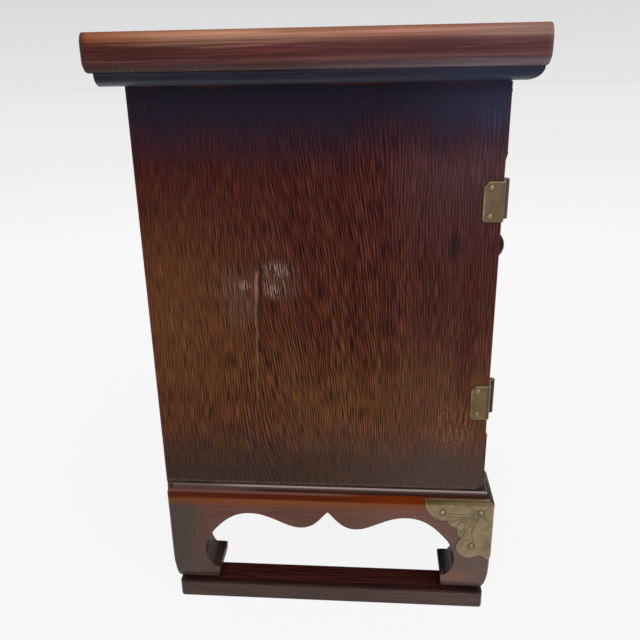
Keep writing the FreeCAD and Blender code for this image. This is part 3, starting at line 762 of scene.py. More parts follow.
def paintTop(node, grain, seed):
    values = topValues
    finish = Finish(values, node, grain, seed)
    tree = finish.tree
    x, y, z = magnitude(tree, finish.x), finish.y, finish.z
    woodLayers(finish)
    ragged = swing(tree, finish.figure, values["figureSway"], z)
    ragged = swing(tree, finish.streak, values["streakSway"], ragged)
    # paler towards the rim, with a painted highlight along its upper edge, not over the whole top
    fromBack = calc(tree, "SUBTRACT", topBack, y)
    inY = least(tree, calc(tree, "SUBTRACT", y, topFront), fromBack)
    rim = finish.band(least(tree, calc(tree, "SUBTRACT", topRight, x), inY), "rimBand")
    along = calc(tree, "DIVIDE", fromBack, topBack - topFront, clamp=True)
    inward = finish.band(x, "inwardBand")  # front and back take the middle tones
    along = addShare(tree, along, calc(tree, "SUBTRACT", values["inwardPlace"], along), inward)
    finish.lay(rim, ramp(tree, along, values["middlePlaces"], values["middleTones"]), "middle")
    # painted highlight along the upper part of the rounded edge
    upper = calc(tree, "POWER", finish.band(ragged, "upperBand"), values["highlightPower"])
    upper = times(tree, times(tree, upper, values["upper"]), rim)
    finish.lay(upper, ramp(tree, along, values["highlightPlaces"], values["upperTones"]))
    # painted highlight along the crest of the edge
    finish.lay(times(tree, finish.band(ragged, "crestHighlightBand"), rim), "crestHighlightTone")
    # painted reflection of the floor on the lower part of the edge
    lower = finish.band(ragged, "lowerReflectionBand")
    finish.lay(lower, ramp(tree, along, values["lowerReflectionPlaces"], values["lowerReflectionTones"]))
    # a faint painted highlight line low on the edge
    line = finish.band(apart(tree, ragged, values["highlightLineHeight"]), "highlightLineBand")
    finish.lay(times(tree, line, finish.band(finish.figure, "lineFigure")), "lineTone")
    # painted shade where the rim turns round the back corner
    corner = times(tree, finish.band(y, "cornerShadeBand"), rest(tree, inward))
    finish.lay(corner, "cornerShadeTone")
    if node == "top_frame_left":  # painted sheen along a pale streak towards the back
        sheen = finish.spot(y, ragged, *values["sheenSpot"])
        finish.lay(times(tree, sheen, finish.band(finish.streak, "sheenStreak")), "sheenTone")
    broad = finish.noise(values["broadScale"], 2.0, values["broadRough"])  # broad streaks along the board
    broad = ramp(tree, finish.band(broad, "broadBand"), (0.0, 1.0), values["broadTones"])
    finish.lay(1.0, broad, mode="MULTIPLY")
    return closeWood(finish, finish.band(z, "coatBand"))


topGrains = {"top_frame_left": "yz", "top_frame_right": "yz", "top_frame_front": "xz", "top_frame_back": "xz",
             "top_panel": "xy"}
makeParts(topGrains, topValues, paintTop, topValues["seed"])

# the moulding's near-black bluish tones are painted shade under the top's overhang, bluer towards the front
mouldingValues = dict(
    topValues,
    edge=0.0002,
    seed=17.0,
    tones=(shade(26, 23, 33), shade(36, 33, 45), shade(45, 41, 52)),
    wearTone=shade(76, 72, 80),
    gloss=0.08,
    coatRough=0.2,
    coatBand=(0.384, 0.38, 0.05, 0.35),
    # painted highlight along the lower lip
    lipHighlightTone=shade(74, 74, 86),
    lipHighlightBand=(0.3825, 0.3805, 0.0, 0.8),
    frontShadeTone=shade(46, 50, 72),
    frontBand=(0.0, -0.11, 0.0, 0.7),
)


def paintMoulding(node, grain, seed):
    finish = Finish(mouldingValues, node, grain, seed)
    woodLayers(finish)
    # painted highlight on the lower lip, then bluer painted shade towards the front
    finish.lay(finish.band(finish.z, "lipHighlightBand"), "lipHighlightTone")
    finish.lay(finish.band(finish.y, "frontBand"), "frontShadeTone")
    return closeWood(finish, finish.band(finish.z, "coatBand"))


mouldingGrains = {"moulding_left": "yz", "moulding_right": "yz", "moulding_front": "xz",
                  "moulding_back": "xz"}
makeParts(mouldingGrains, mouldingValues, paintMoulding, mouldingValues["seed"])
print("top done")

# stand: legs, aprons and floor runners
standValues = {
    "edge": 0.00035,
    "edgeSteps": 2,
    "seed": 23.0,
    "hollow": (0.147, 0.1115, 0.09),  # what lies nearer the middle and lower is inside the stand
    "tones": (shade(93, 55, 42), shade(102, 61, 47), shade(111, 70, 55)),
    "figureTone": shade(220, 200, 196),
    "figure": 0.6,
    "pores": 0.14,
    "wander": 5.0,
    "width": 1.1,
    "length": 3.0,
    "wearWidth": 0.003,
    "wear": 0.3,
    "wearTone": shade(140, 104, 84),
    "rough": 0.42,
    "bump": 0.22,
    "gloss": 0.02,
    "coatRough": 0.18,
    "coat": 0.5,
    "underCoat": -0.45,
    "slopeCoat": -0.3,
    "innerCoat": -0.4,
    "acrossBand": (0.05, -0.05),
    "legTones": (shade(62, 51, 44), shade(84, 75, 73)),
    "legDepth": (0.088, 0.107),
    "legWidth": (0.122, 0.142),
    "legFigure": (0.0, 1.0, 0.7, 0.9),
    "hemTone": shade(76, 58, 48),
    "hemBand": (0.077, 0.069, 0.0, 0.4),
    "paleTone": shade(122, 90, 80),
    "paleAcross": (0.0, -0.06),
    "pale": 0.4,
    "paleOnLegs": -0.3,
    "rubTone": shade(140, 84, 58),
    "rubSpot": ((-0.0975, 0.0285), (0.018, 0.0065)),
    "rubFigure": (0.0, 1.0, 0.2, 0.45),
    # painted shade on the toe of the rear foot, beside the runner
    "toeShadeTone": shade(44, 34, 32),
    "toeShadeSpot": ((0.087, 0.019), (0.014, 0.016)),
    "toe": 0.6,
    # painted highlight on the rounded bottom of the hoof
    "soleHighlightTone": shade(92, 90, 86),
    "soleHighlightBand": (0.0205, 0.0165, 0.0, 0.45),
    "wave": 0.0012,
    "underTones": (shade(118, 62, 26), shade(124, 70, 38)),
    "underBand": (0.0815, 0.0895, 0.0, 0.85),
    "underAcross": (0.1, 0.05),
    "slopeTones": (shade(80, 32, 18), shade(78, 25, 10), shade(106, 39, 3)),
    "slopePlaces": (0.0, 0.4, 0.85),
    "slopeBand": (0.0895, 0.0915, 0.0, 0.93),
    "slopeAcross": (0.11, -0.09),
    "slopeSway": 0.04,
    # painted shading of the waist: darker low, lighter high, lighter towards the back
    "wallShadeTones": (shade(52, 32, 29), shade(92, 74, 71)),
    "wallBand": (0.0938, 0.0944, 0.0, 0.95),
    "wallRise": (0.0955, 0.0985),
    "rearWallTone": shade(94, 70, 62),
    "rearWallAcross": (0.04, 0.075, 0.0, 0.85),
    # painted highlight where the slope meets the waist
    "seamHighlightTone": shade(118, 80, 70),
    "seamHeight": 0.0938,
    "seamHighlightBand": (0.001, 0.0003, 0.0, 0.8),
    "seamAcross": (-0.03, 0.0),
    # painted highlight on the rounded rim under the case
    "rimHighlightTone": shade(158, 142, 137),
    "rimBand": (0.0978, 0.0987),
    "rimHighlightAcross": (0.09, 0.06, 0.2, 0.95),
    # painted shade in the gap under the case and on the front of the shoulder
    "frontShadeTone": shade(26, 22, 24),
    "crownShadeBand": (0.0993, 0.0997, 0.0, 0.9),
    "frontAcross": (-0.1125, -0.1145),
    "frontRise": (0.0905, 0.0915, 0.0, 0.9),
    "frontTop": (0.0944, 0.0936),
    # painted shade on the faces inside the stand
    "innerShadeTones": (shade(58, 42, 40), shade(31, 39, 41)),
    "innerStreak": (0.0, 1.0, 0.95, 0.8),
}


def paintStand(node, grain, seed):
    values = standValues
    finish = Finish(values, node, grain, seed)
    tree = finish.tree
    y, z = finish.y, finish.z
    woodLayers(finish)
    across = finish.band(y, "acrossBand")
    # greyer towards the corners, on legs and aprons alike
    greyed = least(tree, finish.band(magnitude(tree, y), "legDepth"),
                   finish.band(magnitude(tree, finish.x), "legWidth"))
    greyed = times(tree, greyed, finish.band(finish.figure, "legFigure"))
    finish.lay(greyed, finish.between(across, "legTones"))
    finish.lay(times(tree, finish.band(z, "hemBand"), rest(tree, greyed)), "hemTone")
    pale = addShare(tree, values["pale"], greyed, values["paleOnLegs"])
    finish.lay(times(tree, finish.band(y, "paleAcross"), pale), "paleTone")
    if node.startswith("leg_"):
        rub = finish.spot(y, z, *values["rubSpot"])
        finish.lay(times(tree, rub, finish.band(finish.figure, "rubFigure")), "rubTone")
        # painted shade on the toe of the rear foot, beside the runner
        finish.lay(finish.spot(y, z, *values["toeShadeSpot"]), "toeShadeTone", "toe")
        # painted highlight on the rounded bottom of the hoof
        finish.lay(finish.band(z, "soleHighlightBand"), "soleHighlightTone")
    # from the face upward: warm band, sloping shoulder, waist in painted shade with a painted highlight at
    # its foot, and a painted highlight on the rim
    wavy = swing(tree, finish.figure, values["wave"], z)
    under = finish.band(wavy, "underBand")
    finish.lay(under, finish.between(finish.band(y, "underAcross"), "underTones"))
    slope = finish.band(wavy, "slopeBand")
    along = finish.band(swing(tree, finish.streak, values["slopeSway"], y), "slopeAcross")
    finish.lay(slope, ramp(tree, along, values["slopePlaces"], values["slopeTones"]))
    # painted shading of the waist: darker low, lighter high, lighter towards the back
    wall = finish.between(finish.band(z, "wallRise"), "wallShadeTones")
    wall = blend(tree, finish.band(y, "rearWallAcross"), wall, values["rearWallTone"])
    finish.lay(finish.band(z, "wallBand"), wall)
    # painted highlight where the slope meets the waist
    seam = finish.band(apart(tree, z, values["seamHeight"]), "seamHighlightBand")
    finish.lay(times(tree, seam, finish.band(y, "seamAcross")), "seamHighlightTone")
    # painted highlight on the rounded rim under the case
    rim = times(tree, finish.band(z, "rimBand"), finish.band(y, "rimHighlightAcross"))
    finish.lay(rim, "rimHighlightTone")
    # painted shade in the gap under the case and on the front of the shoulder
    finish.lay(finish.band(z, "crownShadeBand"), "frontShadeTone")
    front = times(tree, finish.band(y, "frontAcross"), finish.band(z, "frontRise"))
    finish.lay(times(tree, front, finish.band(z, "frontTop")), "frontShadeTone")
    # painted shade: faces inside the stand stay nearly black
    inner = addNode(tree, "Attribute", attribute_name="inside").outputs["Fac"]
    inner = times(tree, inner, finish.band(finish.streak, "innerStreak"))
    finish.lay(inner, finish.between(across, "innerShadeTones"))
    coat = addShare(tree, values["coat"], under, values["underCoat"], True)
    coat = addShare(tree, coat, slope, values["slopeCoat"], True)
    coat = addShare(tree, coat, inner, values["innerCoat"], True)
    return closeWood(finish, coat)


standParts = {  # run of the grain, and which way is out of the stand
    "leg_front_left": ("zy", (-1, -1, 0)),
    "leg_front_right": ("zy", (1, -1, 0)),
    "leg_rear_left": ("zy", (-1, 1, 0)),
    "leg_rear_right": ("zy", (1, 1, 0)),
    "apron_left": ("yz", (-1, 0, 0)),
    "apron_right": ("yz", (1, 0, 0)),
    "apron_front": ("xz", (0, -1, 0)),
    "apron_back": ("xz", (0, 1, 0)),
}
for number, (node, (grain, outward)) in enumerate(standParts.items()):
    piece = softened(node, standValues["edge"], standValues["edgeSteps"], outward,
                     standValues["hollow"])
    dress(piece, paintStand(node, grain, standValues["seed"] + number))
    evenShading(piece)

runnerValues = dict(
    standValues,
    seed=31.0,
    tones=(shade(50, 20, 17), shade(66, 29, 24), shade(88, 45, 38)),
    wear=0.1,
    wearTone=shade(112, 92, 84),
    gloss=0.03,
    coatBand=(0.0135, 0.0115, 0.03, 0.4),
    # painted shade beside the feet and along the outer edge of the top
    runnerShadeTone=shade(26, 20, 21),
    shadeBand=(0.078, 0.104, 0.0, 0.75),
    outerShadeBand=(0.1485, 0.151, 0.0, 0.6),
    # the outer face's own tone with a painted sheen, greyer
    faceSheenTones=(shade(78, 58, 50), shade(92, 68, 64)),
    faceBand=(0.0134, 0.0126),
    faceStreak=(0.0, 1.0, 0.55, 0.9),
    faceAcross=(0.0, -0.09),
    # painted shade on the runner's ends
    endShadeTone=shade(54, 48, 49),
    endShadeBand=(0.111, 0.1145, 0.0, 0.85),
)


def paintRunner(node, grain, seed):
    finish = Finish(runnerValues, node, grain, seed)
    tree = finish.tree
    x, y, z = magnitude(tree, finish.x), finish.y, finish.z
    woodLayers(finish)
    # painted shade beside the feet and along the outer edge of the top; greyer on its outer face, its own
    # tone with a painted sheen
    shaded = most(tree, finish.band(magnitude(tree, y), "shadeBand"), finish.band(x, "outerShadeBand"))
    finish.lay(shaded, "runnerShadeTone")
    # the outer face's own tone with a painted sheen, greyer
    face = times(tree, finish.band(z, "faceBand"), finish.band(finish.streak, "faceStreak"))
    finish.lay(face, finish.between(finish.band(y, "faceAcross"), "faceSheenTones"))
    # painted shade on the runner's ends
    finish.lay(finish.band(magnitude(tree, y), "endShadeBand"), "endShadeTone")
    return closeWood(finish, finish.band(z, "coatBand"))


runnerGrains = {"runner_left": "yx", "runner_right": "yx"}
makeParts(runnerGrains, runnerValues, paintRunner, runnerValues["seed"])
print("stand done")

# doors
doorValues = dict(
    sidePanelValues,
    edge=0.0006,
    seed=41.0,
    seedBetween=7.0,
    tones=(shade(48, 21, 16), shade(70, 34, 25), shade(96, 53, 36)),
    pores=0.3,
    length=2.6,
    wearTone=shade(136, 86, 60),
    gloss=0.12,
    coatBand=(0.2, 0.11, 0.12, 0.45),
    # painted shade darkening the doors towards the top, under the overhang
    darkTopAndShadeTone=shade(58, 24, 18),
    darkTopAndShadeBand=(0.33, 0.372, 0.0, 0.5),
)


def paintDoor(node, grain, seed):
    finish = Finish(doorValues, node, grain, seed)
    woodLayers(finish)
    # painted shade darkening the doors towards the top, under the overhang
    finish.lay(finish.band(finish.z, "darkTopAndShadeBand"), "darkTopAndShadeTone")
    return closeWood(finish, finish.band(finish.z, "coatBand"))


doorGrains = {"rail_top": "xz", "rail_bottom": "xz", "stile_hinge": "zx", "stile_meeting": "zx",
              "panel": "zx"}
for number, side in enumerate(("door_left_", "door_right_")):
    sideGrains = {side + name: grain for name, grain in doorGrains.items()}
    seed = doorValues["seed"] + doorValues["seedBetween"] * number
    makeParts(sideGrains, doorValues, paintDoor, seed)
print("doors done")

# inside and back, plainer and paler wood
insideValues = dict(
    sidePanelValues,
    edge=0.0005,
    seed=61.0,
    tones=(shade(84, 53, 33), shade(108, 70, 45), shade(128, 87, 57)),
    pores=0.3,
    width=1.1,
    length=3.0,
    wearTone=shade(150, 112, 80),
    rough=0.62,
    gloss=0.1,
    coatRough=0.4,
    coatStreak=(0.0, 1.0, 0.02, 0.06),
    dustTone=shade(128, 108, 88),
    dustScale=9,
    dustBand=(0.45, 0.75, 0.0, 0.3),
    frontTones=(shade(48, 21, 16), shade(88, 48, 34)),
    frontBand=(-0.1075, -0.11, 0.0, 0.95),
)


def paintInside(node, grain, seed):
    values = insideValues
    finish = Finish(values, node, grain, seed)
    tree = finish.tree
    woodLayers(finish)
    dust = noise(tree, finish.place, values["dustScale"], 3.0)
    finish.lay(finish.band(dust, "dustBand"), "dustTone")
    if node in ("case_top", "case_bottom"):  # their front edges show round the doors and are as dark as these
        front = finish.band(finish.y, "frontBand")
        finish.lay(front, finish.between(finish.streak, "frontTones"))
    return closeWood(finish, finish.band(finish.streak, "coatStreak"))


insideGrains = {"case_top": "xy", "case_bottom": "xy", "back_panel": "zx", "shelf": "xy",
                "shelf_battens": "yz", "door_stop": "xz", "stand_dowels": "zx"}
makeParts(insideGrains, insideValues, paintInside, insideValues["seed"])
print("inside done")

# brass mounts and hinges
brassValues = {
    "edge": 0.00014,
    "grooveSeed": 70.0,
    "mountSeed": 71.0,
    "plateSeed": 75.0,
    "smallSeed": 81.0,
    "tones": (shade(120, 106, 80), shade(134, 118, 91), shade(148, 132, 104)),
    "hingeTones": (shade(98, 82, 64), shade(108, 91, 71), shade(118, 101, 79)),
    "tonePlaces": (0.0, 0.45, 1.0),
    "cloudScale": 0.11,
    "cloudRough": 0.6,
    "cloudShare": 0.7,
    "fineScale": 1.3,
    "fineRough": 0.7,
    "fineShare": 0.3,
    "mixedBand": (0.3, 0.7),
    "roughBand": (0.3, 0.7, 0.54, 0.34),
    "metalBand": (0.0, 1.0, 1.0, 0.55),
    "bump": 0.12,
    "bumpDepth": 0.0002,
    "scratchScale": (3, 3, 3),
    "scratchDepth": -0.5,
    "scratches": 0.2,
    "wearWidth": 0.0016,
    "wear": 0.6,
    # edge wear and painted highlights on the brass
    "edgeWearAndHighlightTone": shade(206, 186, 146),
    "tarnish": shade(62, 52, 34),
    "dullBand": (0.6, 0.78, 0.0, 0.16),
    # painted shade on a stand mount's hip and a case mount's edge
    "brassShadeTone": shade(34, 34, 29),
    # stand mounts
    "tackPlaces": ((-0.0835, 0.0845), (-0.1105, 0.085), (-0.105, 0.0565)),
    "tackRing": ((0.0034, 0.0034), 0.5),
    "tack": 0.6,
    # painted shade on the bent strip, painted highlight on its upper edge
    "stripShadeTone": shade(82, 68, 40),
    "stripShadeBand": (0.0908, 0.0916, 0.0, 0.85),
    "upperEdgeHighlightBand": (0.0936, 0.09385),
    "hipReach": 0.0004,
    "hipRise": (0.0905, 0.0912),
    "hip": 0.8,
    # case mounts
    # painted shade on the mount's edge along the case's edge
    "caseEdgeShadeBand": (0.1475, 0.1488),
    "caseEdge": 0.92,
    # hinges
    "middleHeight": 0.24,
    "yellowTone": shade(255, 252, 214),
    "yellow": 0.8,
    # painted shade along the leaf's bend and on the barrel
    "bendPlace": -0.1102,
    "bendShadeBand": (0.0011, 0.0002),
    "bend": 0.1,
    "lowerBend": 0.45,
    "barrelShadeTones": (shade(68, 63, 54), shade(34, 34, 29)),
    "barrelBand": (-0.1132, -0.1142),
    "barrel": 0.9,
    "leafTops": (0.183, 0.3205),
    "leafTopHighlightBand": (0.0008, 0.0002, 0.0, 0.8),
    # grooves of the engraving
    "grooveTones": (shade(74, 62, 42), shade(98, 84, 60)),
    "groovePlaces": (0.3, 0.7),
    "grooveScale": 0.8,
    "grooveRoughBand": (0.3, 0.7, 0.75, 0.55),
    "grooveMetal": 0.6,
    "grooveRadius": 0.00024,
    "plate": 0.0008,
    "frontSqueeze": 0.9,
}
# engraved lines of a stand mount: distance from the corner and height, in millimetres
engraving = [
    [(32.6, 84.2), (27, 83.5), (20, 84.0), (12.2, 84.8)],
    [(31.0, 82.2), (26.4, 80.6), (20.4, 81.6), (13.0, 83.8)],
    [(29.8, 75.8), (27.2, 78.6), (20.4, 79.8), (13.2, 82.8)],
    [(25.4, 73.6), (24.4, 76.6), (19.0, 78.6), (13.6, 81.9)],
    [(20.4, 70.2), (19.8, 74.4), (15.4, 78.4), (12.4, 81.4)],
    [(20.8, 64.6), (19.2, 70.2), (14.6, 76.2), (11.4, 80.7)],
    [(13.8, 61.8), (15.2, 69.2), (12.6, 75.8), (9.9, 81.4)],
    [(7.2, 87.0), (4.8, 88.2), (1.4, 90.0)],
    [(23.8, 67.4), (22.4, 69.0), (20.9, 69.0)],
    [(7.0, 82.4), (5.0, 79.6), (3.4, 77.6)],
    [(23.0, 78.6), (21.4, 76.6), (19.2, 76.4)],
]
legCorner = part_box("leg_front_left")[0]
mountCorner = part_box("stand_mount_left")[0]


def paintBrass(node, seed, use="small"):
    values = brassValues
    finish = Finish(values, node, "zx", seed)
    tree = finish.tree
    x, y, z = magnitude(tree, finish.x), finish.y, finish.z
    wear = finish.edgeWear()
    finer = vectorCalc(tree, "MULTIPLY", finish.millimetres, values["scratchScale"])
    scratches = useGroup(tree, marksGroup, Place=finer)["Scratches"]
    cloud = finish.noise(values["cloudScale"], 4.0, values["cloudRough"])
    fine = finish.noise(values["fineScale"], 3.0, values["fineRough"])
    mixed = addShare(tree, times(tree, cloud, values["cloudShare"]), fine, values["fineShare"])
    tones = values["hingeTones" if use in ("case", "hinge") else "tones"]
    finish.colour = ramp(tree, finish.band(mixed, "mixedBand"), values["tonePlaces"], tones)
    dull = finish.band(cloud, "dullBand")
    if use == "stand":
        for place in values["tackPlaces"]:  # darker round each tack
            ring = finish.spot(y, z, place, *values["tackRing"])
            dull = most(tree, dull, times(tree, ring, values["tack"]))
    finish.lay(dull, "tarnish")
    if use == "stand":  # painted shade on the strip bent over the shoulder and at its hip, a painted highlight on its upper edge
        finish.lay(finish.band(z, "stripShadeBand"), "stripShadeTone")
        meeting = legCorner.y - legCorner.x  # where the two slopes of the shoulder meet
        hip = fade(tree, calc(tree, "ADD", x, y), meeting + values["hipReach"], meeting - values["hipReach"])
        hip = times(tree, hip, finish.band(z, "hipRise"))
        wear = most(tree, wear, finish.band(z, "upperEdgeHighlightBand"))
        wear = times(tree, wear, rest(tree, hip))
        finish.lay(hip, "brassShadeTone", "hip")
    elif use == "case":  # painted shade on the mount's edge along the case's own edge
        edge = finish.band(x, "caseEdgeShadeBand")
        wear = times(tree, wear, rest(tree, edge))
        finish.lay(edge, "brassShadeTone", "caseEdge")
        dull = most(tree, dull, edge)
    elif use == "hinge":  # the lower hinges are yellower; painted shade along the line where the leaf bends and on the barrel
        lower = calc(tree, "LESS_THAN", z, values["middleHeight"])
        finish.lay(lower, "yellowTone", "yellow", "MULTIPLY")
        barrel = finish.band(y, "barrelBand")
        wear = times(tree, wear, rest(tree, barrel))
        bend = finish.band(apart(tree, y, values["bendPlace"]), "bendShadeBand")
        bend = times(tree, bend, addShare(tree, values["bend"], lower, values["lowerBend"]))
        finish.lay(bend, "tarnish")
        finish.lay(barrel, finish.between(lower, "barrelShadeTones"), "barrel")
        dull = most(tree, dull, barrel)
        for top in values["leafTops"]:  # painted highlight along the upper edges
            rim = finish.band(apart(tree, z, top), "leafTopHighlightBand")
            wear = most(tree, wear, times(tree, rim, rest(tree, barrel)))
    # edge wear together with the painted highlights gathered above
    finish.lay(wear, "edgeWearAndHighlightTone", "wear")
    finish.lay(scratches, "edgeWearAndHighlightTone", "scratches")
    height = addShare(tree, mixed, scratches, values["scratchDepth"])
    return finish.close(finish.band(mixed, "roughBand"), (height, values["bump"], values["bumpDepth"]),
                        {"Metallic": finish.band(dull, "metalBand")})


def paintGroove(values):
    finish = Finish(values, "stand_mount_left", "zx", values["grooveSeed"], "brassGroove")
    cloud = finish.noise(values["grooveScale"], 3.0, values["cloudRough"])
    finish.colour = ramp(finish.tree, cloud, values["groovePlaces"], values["grooveTones"])
    rough = finish.band(cloud, "grooveRoughBand")
    return finish.close(rough, None, {"Metallic": values["grooveMetal"]})


def engravingRod(run, face, side):  # a round rod along one line, its middle on the plate's surface
    values = brassValues
    line = bpy.data.curves.new("engravingLine", "CURVE")
    line.dimensions = "3D"
    line.bevel_depth = values["grooveRadius"]
    line.bevel_resolution = 1
    line.resolution_u = 6
    line.use_fill_caps = True
    spline = line.splines.new("NURBS")
    spline.points.add(len(run) - 1)
    for point, (away, height) in zip(spline.points, run):
        x, y = mountCorner.x, mountCorner.y
        if face == "side":
            y += values["plate"] + away / perMetre
        else:
            x += values["plate"] + away * values["frontSqueeze"] / perMetre
        point.co = (side * x, y, height / perMetre, 1)
    spline.order_u = 3
    spline.use_endpoint_u = True
    rod = bpy.data.objects.new("engravingLine", line)
    bpy.context.scene.collection.objects.link(rod)
    return rod


def engrave(piece, side, groove):
    for face in ("side", "front"):
        for run in engraving:
            rod = engravingRod(run, face, side)
            graph = bpy.context.evaluated_depsgraph_get()
            rodMesh = bpy.data.meshes.new_from_object(rod.evaluated_get(graph))
            rodMesh.materials.append(groove)
            cutter = bpy.data.objects.new("engravingRod", rodMesh)
            bpy.context.scene.collection.objects.link(cutter)
            cut = piece.modifiers.new("engraving", "BOOLEAN")
            cut.operation = "DIFFERENCE"
            cut.solver = "EXACT"
            cut.material_mode = "TRANSFER"
            cut.object = cutter
            graph = bpy.context.evaluated_depsgraph_get()
            made = bpy.data.meshes.new_from_object(piece.evaluated_get(graph))
            piece.modifiers.remove(cut)
            if len(made.polygons) > len(piece.data.polygons):
                piece.data = made
            bpy.data.objects.remove(cutter)
            bpy.data.objects.remove(rod)


groove = paintGroove(brassValues)
for number, (node, side) in enumerate({"stand_mount_left": 1, "stand_mount_right": -1}.items()):
    piece = softened(node, brassValues["edge"])
    dress(piece, paintBrass(node, brassValues["mountSeed"] + number, "stand"))
    engrave(piece, side, groove)
    piece.data.set_sharp_from_angle(angle=math.radians(softenValues["smoothAngle"]))
    print(node, "has", len(piece.data.polygons), "faces")

brassPlates = {"case_mounts": "case", "hinge_case_leaves_left": "hinge", "hinge_case_leaves_right": "hinge",
               "door_left_hinge_leaves": "hinge", "door_right_hinge_leaves": "hinge"}
for number, (node, use) in enumerate(brassPlates.items()):
    piece = softened(node, brassValues["edge"])
    dress(piece, paintBrass(node, brassValues["plateSeed"] + number, use))
    evenShading(piece)
brassSmall = ["case_mount_tacks", "stand_mount_tacks", "hinge_pins", "hinge_screws_case",
              "door_left_hinge_screws", "door_right_hinge_screws"]
for number, node in enumerate(brassSmall):
    dress(nodes[node], paintBrass(node, brassValues["smallSeed"] + number))
print("brass done")

# knobs of blackened wood
knobValues = {
    "seed": 91.0,
    "tones": (shade(3, 3, 3), shade(6, 6, 6), shade(12, 11, 10)),
    "tonePlaces": (0.0, 0.6, 1.0),
    "wander": 3.0,
    "width": 0.8,
    "length": 2.0,
    "rubTone": shade(22, 18, 16),
    "rubScale": 0.2,
    "rubRough": 0.6,
    "rubBand": (0.58, 0.75, 0.0, 0.5),
    "roughBand": (0.3, 0.7, 0.34, 0.54),
    "bump": 0.15,
    "bumpDepth": 0.0002,
    "gloss": 0.06,
}


def paintKnob(node, seed):
    values = knobValues
    finish = Finish(values, node, "yz", seed)
    tree = finish.tree
    grain = useGroup(tree, grainGroup, Place=finish.millimetres, Shift=0.0, Wander=values["wander"],
                     Width=values["width"], Length=values["length"])
    finish.colour = ramp(tree, grain["Streak"], values["tonePlaces"], values["tones"])
    rub = finish.noise(values["rubScale"], 3.0, values["rubRough"])
    finish.lay(finish.band(rub, "rubBand"), "rubTone")
    return finish.close(finish.band(rub, "roughBand"),
                        (grain["Height"], values["bump"], values["bumpDepth"]),
                        {"Specular IOR Level": values["gloss"]})


for number, node in enumerate(("door_left_knob", "door_right_knob")):
    dress(nodes[node], paintKnob(node, knobValues["seed"] + number))

# steel of the nails, magnets, strikes and knob screws
steelValues = {
    "seed": 95.0,
    "tones": (shade(88, 84, 80), shade(140, 138, 134), shade(176, 174, 170)),
    "tonePlaces": (0.0, 0.5, 1.0),
    "cloudScale": 0.5,
    "cloudRough": 0.6,
    "cloudBand": (0.3, 0.7),
    "rustTone": shade(92, 58, 38),
    "rustScale": 0.9,
    "rustRough": 0.7,
    "rustBand": (0.56, 0.7, 0.0, 0.7),
    "metalBand": (0.0, 0.7, 1.0, 0.3),
    "roughBand": (0.0, 0.7, 0.4, 0.8),
    "bump": 0.2,
    "bumpDepth": 0.0002,
}


def paintSteel(node, seed):
    values = steelValues
    finish = Finish(values, node, "zx", seed)
    tree = finish.tree
    cloud = finish.noise(values["cloudScale"], 4.0, values["cloudRough"])
    finish.colour = ramp(tree, finish.band(cloud, "cloudBand"), values["tonePlaces"], values["tones"])
    rust = finish.band(finish.noise(values["rustScale"], 3.0, values["rustRough"]), "rustBand")
    finish.lay(rust, "rustTone")
    return finish.close(finish.band(rust, "roughBand"), (cloud, values["bump"], values["bumpDepth"]),
                        {"Metallic": finish.band(rust, "metalBand")})


steelParts = ["back_nails", "catch_magnets", "door_left_strike", "door_right_strike",
              "door_left_knob_screw", "door_right_knob_screw"]
for number, node in enumerate(steelParts):
    dress(nodes[node], paintSteel(node, steelValues["seed"] + number))
print("knobs and steel done")

# floor, light and world
stageValues = {
    "floorTones": (shade(222, 222, 222), shade(250, 250, 250)),  # far off and near
    "floorSize": 14.0,
    "floorSides": 96,
    "nearest": 0.1,
    "nearBand": (-0.6, 1.0),
    "liftBand": (1.2, 7.0, 0.92, 1.0),  # how much of the floor's shown colour takes no shadow
    "backTones": (shade(234, 234, 234), shade(210, 210, 210)),  # low and high
    "backBand": (-0.1, 0.2),
    "world": (0.86, 0.87, 0.89, 1.0),
    "worldStrength": 0.5,
    "key": 1.5,
    "keyAngle": 70.0,
    "keyFrom": (-0.62, -0.3, 0.72),
}


# camera, reflections and clear things see the second shader, all other rays the first
def showInstead(tree, lit, shown, share=None):
    path = addNode(tree, "LightPath").outputs
    seen = most(tree, path["Is Camera Ray"], path["Is Glossy Ray"])
    seen = most(tree, seen, path["Is Transmission Ray"])
    if share is not None:
        seen = times(tree, seen, share)
    mix = addNode(tree, "MixShader")
    feed(tree, mix.inputs[0], seen)
    tree.links.new(lit.outputs[0], mix.inputs[1])
    tree.links.new(shown.outputs[0], mix.inputs[2])
    return mix.outputs[0]


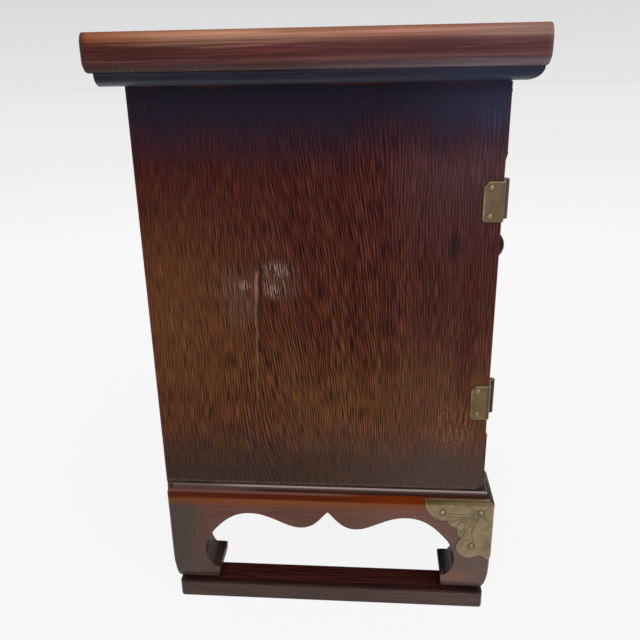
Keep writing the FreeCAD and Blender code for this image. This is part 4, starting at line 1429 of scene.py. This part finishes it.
def makeStage(values):
    bm = bmesh.new()
    bmesh.ops.create_circle(bm, cap_ends=True, segments=values["floorSides"], radius=values["floorSize"])
    mesh = bpy.data.meshes.new("floor")
    bm.to_mesh(mesh)
    bm.free()
    floor = bpy.data.objects.new("floor", mesh)
    bpy.context.scene.collection.objects.link(floor)
    material = bpy.data.materials.new("floor")
    material.use_nodes = True
    tree = material.node_tree
    tree.nodes.clear()
    length = addNode(tree, "VectorMath", operation="LENGTH")
    feed(tree, length.inputs[0], addNode(tree, "TexCoord").outputs["Object"])
    away = length.outputs["Value"]
    near = calc(tree, "DIVIDE", 1.0, most(tree, away, values["nearest"]))
    colour = blend(tree, fade(tree, near, *values["nearBand"]), *values["floorTones"])
    matte = addNode(tree, "BsdfDiffuse")
    feed(tree, matte.inputs["Color"], colour)
    glow = addNode(tree, "Emission")
    feed(tree, glow.inputs["Color"], colour)
    shader = showInstead(tree, matte, glow, fade(tree, away, *values["liftBand"]))
    tree.links.new(shader, addNode(tree, "OutputMaterial").inputs[0])
    mesh.materials.append(material)


def makeLight(values):
    lamp = bpy.data.lights.new("softKey", "SUN")
    lamp.energy = values["key"]
    lamp.angle = math.radians(values["keyAngle"])
    key = bpy.data.objects.new("softKey", lamp)
    key.rotation_mode = "QUATERNION"
    key.rotation_quaternion = Vector(values["keyFrom"]).to_track_quat("Z", "Y")
    bpy.context.scene.collection.objects.link(key)
    world = bpy.data.worlds.new("paleRoom")
    bpy.context.scene.world = world
    world.use_nodes = True
    tree = world.node_tree
    tree.nodes.clear()
    back = addNode(tree, "Background")
    back.inputs["Color"].default_value = values["world"]
    back.inputs["Strength"].default_value = values["worldStrength"]
    shown = addNode(tree, "Background")
    rise = coordinates(tree, addNode(tree, "TexCoord").outputs["Generated"])[2]
    rise = fade(tree, rise, *values["backBand"])
    feed(tree, shown.inputs["Color"], blend(tree, rise, *values["backTones"]))
    shader = showInstead(tree, back, shown)
    tree.links.new(shader, addNode(tree, "OutputWorld").inputs[0])


makeStage(stageValues)
makeLight(stageValues)
print("stage and light done")
